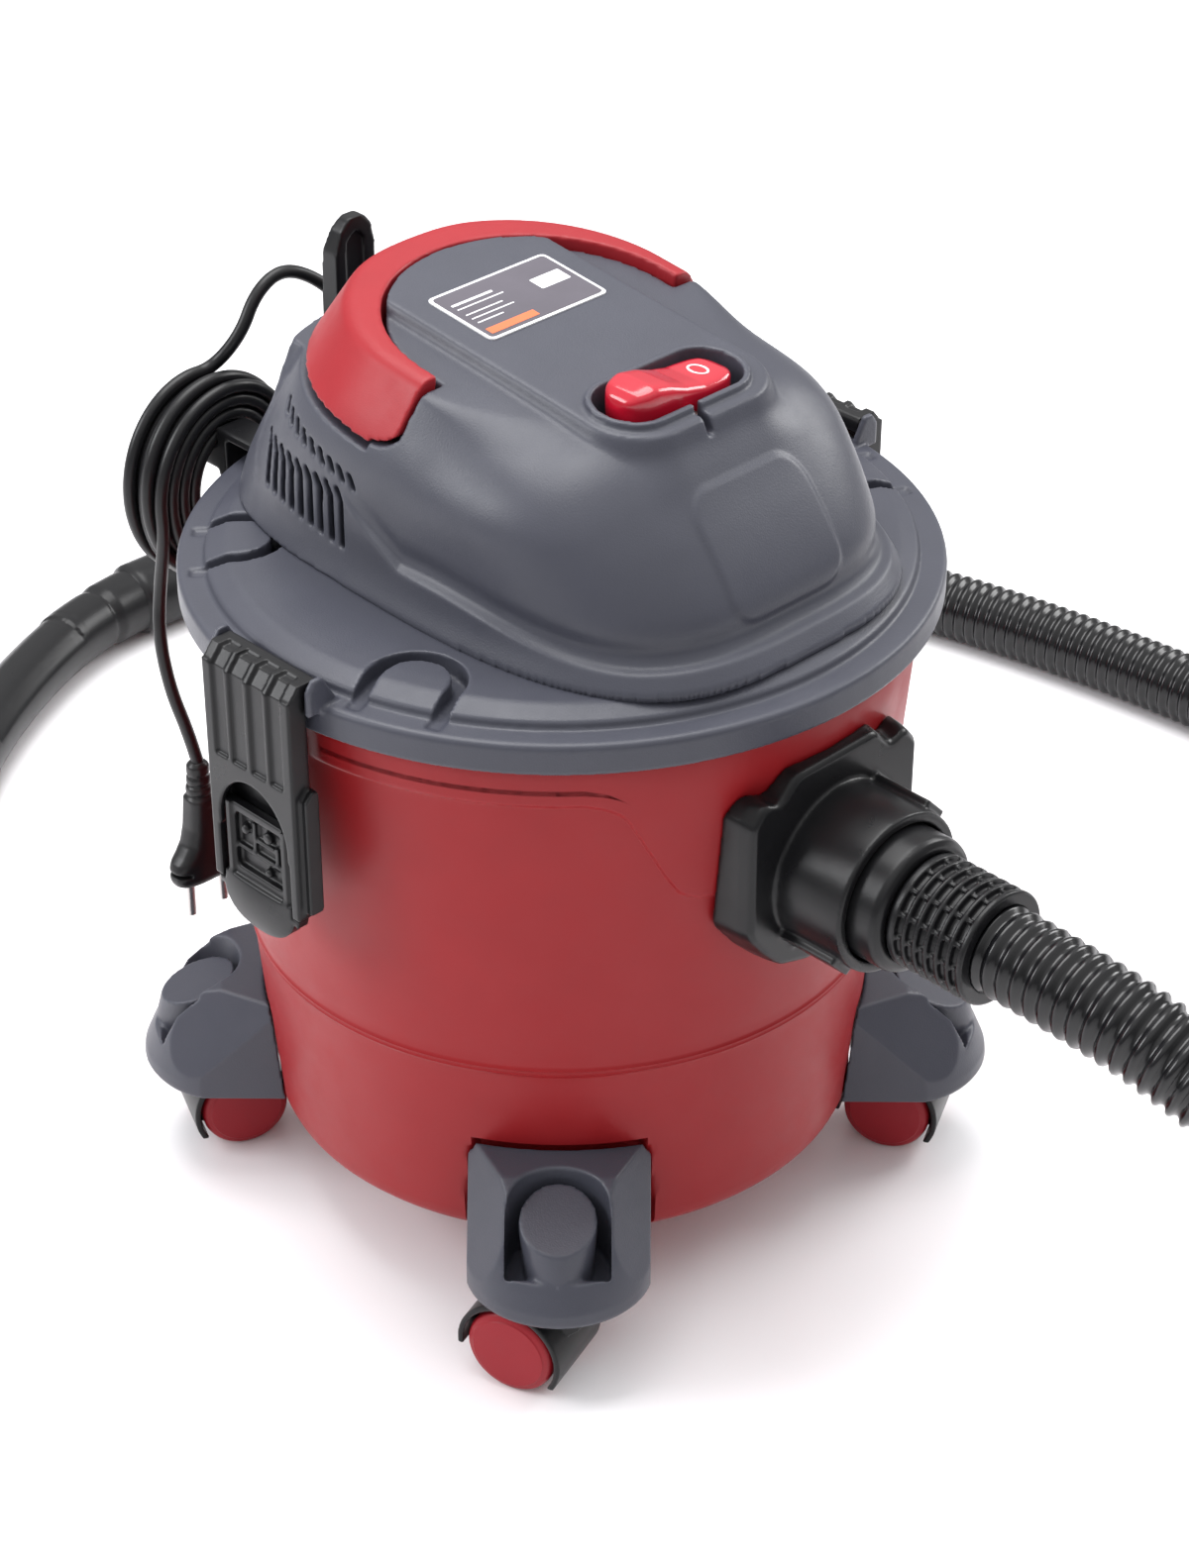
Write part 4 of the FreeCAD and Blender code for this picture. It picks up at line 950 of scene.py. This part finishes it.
def polar_solid(field, offset=0.0, columns=288, rows=100, base=LID_TOP):
    """A closed solid whose surface is where the field, seen from inside the dome, is offset."""
    middle = np.array([0.0, -4.0, base])
    rings = []
    azimuths = np.linspace(0, 2 * math.pi, columns, endpoint=False)
    for row in range(rows):
        lift = math.pi / 2 * (row / rows)
        aim = np.stack([np.cos(azimuths) * math.cos(lift), np.sin(azimuths) * math.cos(lift),
                        np.full(columns, math.sin(lift))], axis=1)
        low, high = np.zeros(columns), np.full(columns, 220.0)
        for _ in range(26):
            half = (low + high) / 2
            x, y, z = (middle + aim * half[:, None]).T
            inside = field(x, y, z) < offset
            low, high = np.where(inside, half, low), np.where(inside, high, half)
        rings.append([tuple(p) for p in middle + aim * low[:, None]])
    return skin(rings)


def handle_zone(inner, drop, nose, ahead=0):
    """The space along the top's rear rim that the folded handle fills."""
    zone = brick((-150, 0, -drop), (150, 220, 80))
    ends = turned(rod(nose, -150, 150, 64), 90, "Y")
    if ahead:
        cap = brick((-150, -ahead, 0), (150, 0, 80))
        low = common(ends, brick((-160, -ahead, -40), (160, 5, 60)))
        fuse(zone, low, cap)
    else:
        fuse(zone, ends)
    zone.data.transform(Matrix.Translation((0, HANDLE_Y * MM, HANDLE_Z * MM))
                        @ Matrix.Rotation(ROOF_TILT, 4, "X"))
    core_y = HANDLE_Y - 6
    core = moved(rod(inner, 330, 530, 128), y=core_y)
    front = brick((-inner, core_y - 60, 330), (inner, core_y, 530))
    cut(zone, fuse(core, front))
    return zone


def stadium(half_length, half_width, low, high):
    """An upright block round the rocker, straight in front and behind, round at its ends."""
    round_at = half_length - half_width
    x, y = ROCKER_MIDDLE
    right = arc(x + round_at, y, half_width, half_width, -90, 90, 25)
    left = [(2 * x - a, 2 * y - b) for a, b in right]
    return prism(right + left, low, high)


def vents():
    """The slots in the dome's rear corners: a row of long ones under a row of short ones."""
    tools = []
    for side in (-1, 1):
        for i in range(9):
            y = 30.5 + 6.9 * i
            lean = (y - 30.5) * 0.03
            low = 331.5 + 0.06 * (y - 30)
            tool = prism(rounded([(y - 1.7, low), (y + 1.7, low), (y + 1.7, 352),
                                  (y + 4.6, 357.5), (y + 2.2, 359.5), (y - 1.7, 353.5)], 1.0,
                                 3), 60, 110, "YZ")
            tools.append(mirrored(moved(tool, z=lean), side))
            y = 23.5 + 6.4 * i
            z = 364 + 0.22 * (y - 23.5)
            tool = prism(rounded([(y - 2.6, z - 3.6), (y + 0.6, z - 3.6), (y + 3.6, z + 3.4),
                                  (y + 0.4, z + 3.4)], 1.2, 3), 55, 110, "YZ")
            tools.append(mirrored(tool, side))
    return tools


def dome_details(points, normals):
    """The soft relief of the dome: the flange at its foot and the flat patch on its nose."""
    x, y, z = points.T
    outside = step(-dome_body(x, y, z), 2.4, 1.2)
    foot = 326.5 + 11.0 * step(y, -120, -20) + 0.55 * np.maximum(y + 5, 0)
    front = 1 - step(y, -25, 34)
    flange = (1.0 + 1.6 * front) * (1 - step(z - foot, -2.0, 2.0)) * (1 - step(y, 22, 36))
    valley = -1.5 * np.exp(-((z - foot - 5.5) / 4.5) ** 2) * front
    across = np.maximum(np.abs(x) - 19, 0) / 12
    up = np.maximum(np.abs(z - 358) - 11, 0) / 12
    patch = 1.1 * (1 - step(np.hypot(across, up), 0.85, 1.12)) * step(-y, 85, 95)
    return (flange + valley + patch) * outside * step(outside, 0, 0.5)


def make_dome():
    dome = polar_solid(dome_body)
    inner = polar_solid(dome_body, -3.4, 144, 60, LID_TOP - 0.5)
    cut(inner, handle_zone(60, 25, 20.5), stadium(41.5, 21.0, 383, 440))
    cut(dome, inner)
    cut(dome, handle_zone(64.5, 21.0, 17.6, 14.2))
    rim = stadium(38.6, 18.2, 386, 440)
    cap = polar_solid(lambda x, y, z: dome_body(x, y, z) - 3.0, 0.0, 144, 60)
    fuse(dome, common(rim, cap))
    cut(dome, stadium(35.8, 15.4, 386.5, 450))
    cut(dome, prism(rounded([(-5.8, -98), (-2.2, -98), (-2.2, -74), (-5.8, -74)],
                            1.2), 394.0, 430))
    cut(dome, *vents())
    cut(dome, gland_rod(8.2, 100, 160))
    moulded(dome, 0.85, 3, 0.40, dome_details)
    finished(dome, "dome_shell", "body_grey", "head", ["dome"])
    handle = polar_solid(handle_body)
    common(handle, handle_zone(66.5, 17.5, 15.8, 12.6))
    for side in (-1, 1):
        pin = turned(rod(3.2, 50, 77.0), 90 * side, "Y")
        cut(handle, moved(pin, 0, HANDLE_Y, HANDLE_Z))
    moulded(handle, 0.8, 5, 0.6)
    finished(handle, "handle_grip", "handle_red", "carry_handle", ["carry_handle"])


def make_label():
    """A plain rating plate: a pale frame, a dark face, plain bars and an orange strip."""
    tilt = (Matrix.Translation((0, 25 * MM, (ROOF_Z + 0.6 + 25 * math.tan(ROOF_TILT)) * MM))
            @ Matrix.Rotation(ROOF_TILT, 4, "X"))
    layers = [("label_frame", 32.5, 19.5, 3.0, 0.0, 0.8, WHITE_INK, 0, 0),
              ("label_film", 31.0, 18.0, 2.2, 0.5, 1.0, PAINT["label_face"], 0, 0),
              ("label_strip", 13.0, 2.2, 0.4, 0.9, 1.1, ORANGE_INK, -16.0, -14.0),
              ("label_block", 8.0, 4.2, 0.8, 0.9, 1.1, WHITE_INK, 20.0, 2.0),
              ("label_bar_1", 11.0, 0.7, 0.3, 0.9, 1.1, WHITE_INK, -17.0, 9.0),
              ("label_bar_2", 12.5, 0.35, 0.2, 0.9, 1.1, WHITE_INK, -15.5, 5.5),
              ("label_bar_3", 10.0, 0.35, 0.2, 0.9, 1.1, WHITE_INK, -18.0, 0.5),
              ("label_bar_4", 11.5, 0.35, 0.2, 0.9, 1.1, WHITE_INK, -16.5, -3.0),
              ("label_bar_5", 7.0, 0.35, 0.2, 0.9, 1.1, WHITE_INK, -21.0, -6.5)]
    for name, half_x, half_y, radius, low, high, material, x, y in layers:
        outline = rounded([(x - half_x, y - half_y), (x + half_x, y - half_y),
                           (x + half_x, y + half_y), (x - half_x, y + half_y)], radius, 4)
        piece = prism(outline, low, high)
        piece.data.transform(tilt)
        finished(piece, name, "label_face", "head",
                 ["label_plate"] if name == "label_frame" else (), 40, material)


def rocker_top(t):
    return np.interp(t, [-1, -0.96, -0.85, -0.6, -0.3, 0.0, 0.3, 0.6, 0.85, 0.96, 1.0],
                     [13.0, 17.0, 20.0, 21.6, 19.8, 16.6, 14.4, 13.8, 13.6, 12.4, 9.0])


def make_rocker():
    """The S-shaped rocker, high at its left end, and its pressed mark."""
    count = 60
    rings = []
    for i in range(count + 1):
        t = -math.cos(math.pi * i / count)
        x = ROCKER_MIDDLE[0] + ROCKER_HALF * t
        top = rocker_top(t)
        bottom = np.interp(abs(t), [0, 0.3, 0.92, 1.0], [-0.8, -0.8, 5.0, 7.0])
        half = 12.6 * (1 - min(0.998, abs(t)) ** 5) ** 0.45
        middle, tall = (top + bottom) / 2, (top - bottom) / 2
        rings.append([(x, ROCKER_MIDDLE[1] + a, ROCKER_FOOT + middle + b)
                      for a, b in squircle(half, tall, 0.42, 0.36)])
    rocker = skin(rings)
    pin = turned(rod(2.1, -20, 20), 90, "X")
    cut(rocker, moved(pin, 0, ROCKER_Y, ROCKER_FOOT + 3))
    moulded(rocker, 0.5, 8, 0.7)
    finished(rocker, "rocker_cap", "rocker_red", "rocker", ["rocker"])
    rings = []
    for t in np.linspace(0, 2 * math.pi, 48, endpoint=False):
        ring = []
        for w, h in ((-0.45, -0.2), (0.45, -0.2), (0.45, 0.22), (-0.45, 0.22)):
            x = 14.5 + (3.4 + w) * math.cos(t)
            top = rocker_top((x - ROCKER_MIDDLE[0]) / ROCKER_HALF)
            ring.append((x, ROCKER_MIDDLE[1] + (4.6 + w) * math.sin(t),
                         ROCKER_FOOT + 0.05 + top + h))
        rings.append(ring)
    mark = skin(rings, wrap=True)
    finished(mark, "rocker_mark_off", "rocker_red", "rocker", (), 50, WHITE_INK)


# ---- latches
def make_latch(side):
    """The hook piece of one latch, hinged on the lid, and its tongue."""
    name = "latch_left" if side < 0 else "latch_right"
    profile = [(154.4, 315.0), (154.4, 319.6), (156.2, 321.6), (165.6, 321.6), (171.4, 314.6),
               (171.4, 240), (168.2, 240), (168.2, 312.8), (164.2, 316.8), (160, 316.8),
               (158.5, 314.4), (155.5, 314.4)]
    hook = prism(profile, -26, 26, "XZ")
    pocket = [(160.5, 325), (160.5, 320.2), (165.0, 320.2), (169.8, 314.4), (169.8, 274),
              (176, 274), (176, 325)]
    for low, high in ((-20.5, -13), (-10.2, -1.6), (1.6, 10.2), (13, 20.5)):
        cut(hook, prism(pocket, low, high, "XZ"))
    for sign in (-1, 1):
        near, far = span(sign, 22, 26)
        arm = brick((162, near, 214.2), (171.4, far, 316))
        flange = prism(rounded([(160.8, 217), (167.5, 217), (167.5, 270), (164, 274),
                                (160.8, 274)], [1, 1, 1, 2, 2]),
             *span(sign, 25, 29.4), "XZ")
        near, far = span(sign, 21.6, 26)
        lip = brick((167.6, near, 214.2), (171.4, far, 262))
        fuse(hook, arm, flange, lip)
    arch = arc(0, 244, 20.6, 23, 0, 180, 33)
    cut(hook, prism(arch + [(-20.6, 200), (20.6, 200)], 166, 180, "YZ"))
    fuse(hook, brick((161.4, -22.5, 243), (163.0, 22.5, 273)),
         brick((161.4, -22.5, 268), (169.0, 22.5, 273)))
    bore = turned(rod(2.1, -30, 30), 90, "X")
    cut(hook, moved(bore, LATCH_U, 0, LATCH_Z))
    moulded(hook, 0.6, 3, 0.45)
    outline = ([(-24.6, 213.0), (-23.6, 209.0)] + arc(0, 213, 22.0, 15.6, 187.2, 352.8, 25)
               + [(23.6, 209.0), (24.6, 213.0), (20.5, 213.4), (20.5, 252), (-20.5, 252),
                  (-20.5, 213.4)])
    tongue = prism(outline, 164.6, 170.6, "YZ")
    window = prism(rounded([(-14.5, 222), (14.5, 222), (14.5, 248), (-14.5, 248)], 3),
         166.0, 180, "YZ")
    cut(tongue, window)
    relief = brick((169.0, -30, 218), (180, 30, 260))
    cut(tongue, relief)
    for near, far in ((-18.5, -15.5), (15.5, 18.5)):
        fuse(tongue, brick((168, near, 210), (170.4, far, 252)))
    details = [brick((165.6, -15, 230.5), (168.4, 15, 232.5)),
               brick((165.6, -9, 237.5), (168.0, 4, 239.3)),
               brick((165.6, 3, 232), (168.0, 5, 246)),
               brick((165.6, -11, 232), (168.0, -9, 240))]
    for v, z, r in ((-5.5, 243.5, 2.6), (8.5, 241.5, 2.2), (-5.0, 226.5, 1.9)):
        pin = revolved([(0, 165.6), (r, 165.6), (r, 168.8), (r - 0.6, 169.4), (0, 169.4)], 24)
        details.append(moved(turned(pin, 90, "Y"), 0, v, z))
    fuse(tongue, *details)

    def crown(points, normals):
        _, y, z = points.T
        belly = np.clip(1 - (y / 23) ** 2, 0, 1) * np.clip(1 - ((z - 208) / 12) ** 2, 0, 1)
        return 2.2 * belly * step(normals[:, 0], 0.3, 0.8)

    moulded(tongue, 0.6, 4, 0.5, crown)
    for piece in (hook, tongue):
        if side < 0:
            piece.data.transform(Matrix.Scale(-1, 4, (1, 0, 0)))
            piece.data.flip_normals()
    finished(hook, name + "_clip", "black_plastic", name, [name + "_hook"])
    finished(tongue, name + "_lever", "black_plastic", name.replace("latch", "tongue"),
             [name + "_tongue"])


# ---- cord hooks
def make_hooks():
    wide = [(-11, 336), (-11, 400), (-8.5, 410), (-4, 415.4), (4, 415.4), (8.5, 410), (11, 400),
            (11, 336)]
    tongue = prism(rounded([(a + 4, b) for a, b in wide],
                           [0, 6, 6, 5, 5, 6, 6, 0]), 100, 146, "XZ")
    side = [(118, 336), (146, 336), (146, 352), (141, 362), (139, 400), (134.5, 415.6),
            (128, 416), (129.5, 400), (130.5, 362), (118, 356)]
    common(tongue, prism(side, -30, 30, "YZ"))
    groove = prism(rounded([(-1, 345), (9, 345), (9, 404), (4, 410), (-1, 404)], 3),
         100, 131.6, "XZ")
    cut(tongue, groove)
    cut(tongue, gland_rod(8.6, 110, 170))
    moulded(tongue, 0.7, 4, 0.7)
    finished(tongue, "upper_hook", "black_plastic", "head", ["cord_hook_upper"])
    x = COIL[0]
    bracket = brick((x - 8, 120, 318.2), (x + 8, 163, 322.4))
    fuse(bracket, brick((x - 8, 157.2, 299), (x + 8, 163.4, 322.4)),
         brick((x - 8, 157.2, 302), (x + 8, 190.8, 313.4)),
         brick((x - 8, 189, 294.5), (x + 8, 193, 319.6)))
    for low in (-5.5, 1.0):
        cut(bracket, brick((x + low, 165, 300), (x + low + 4.5, 187, 310.5)))
    moulded(bracket, 0.7, 3, 0.7)
    finished(bracket, "lower_hook", "black_plastic", "head", ["cord_hook_lower"])


# ---- filter
def make_filter():
    """The cartridge under the lid, pleated all round."""
    pleats = 60
    rings = []
    for radius, swing, z in ((57.0, 2.6, 250.2), (63.4, 2.6, 300.0), (63.4, 2.6, 305.2),
                             (52.2, 0, 305.2), (52.2, 0, 300.0), (50.2, 0, 250.2)):
        ring = []
        for k in range(2 * pleats):
            r, a = radius + (swing if k % 2 else -swing), math.pi * k / pleats
            ring.append((r * math.cos(a), r * math.sin(a), z))
        rings.append(ring)
    sleeve = skin(rings, wrap=True)
    finished(sleeve, "filter_pleats", "filter_paper", "head", ["filter"], 30)


def paint_frame():
    """Gives every carried-over CAD node the material of its slot."""
    slots = {part["node"]: part["material_slot"] for part in frame["record"]["subparts"]}
    for name, node in frame["nodes"].items():
        node.data.materials.clear()
        node.data.materials.append(PAINT[slots[name]])


make_camera()
make_hose()
make_cord()
make_studio()
paint_frame()
make_drum()
make_casters()
make_inlet()
make_lid()
make_dome()
make_label()
make_rocker()
make_latch(-1)
make_latch(1)
make_hooks()
make_filter()
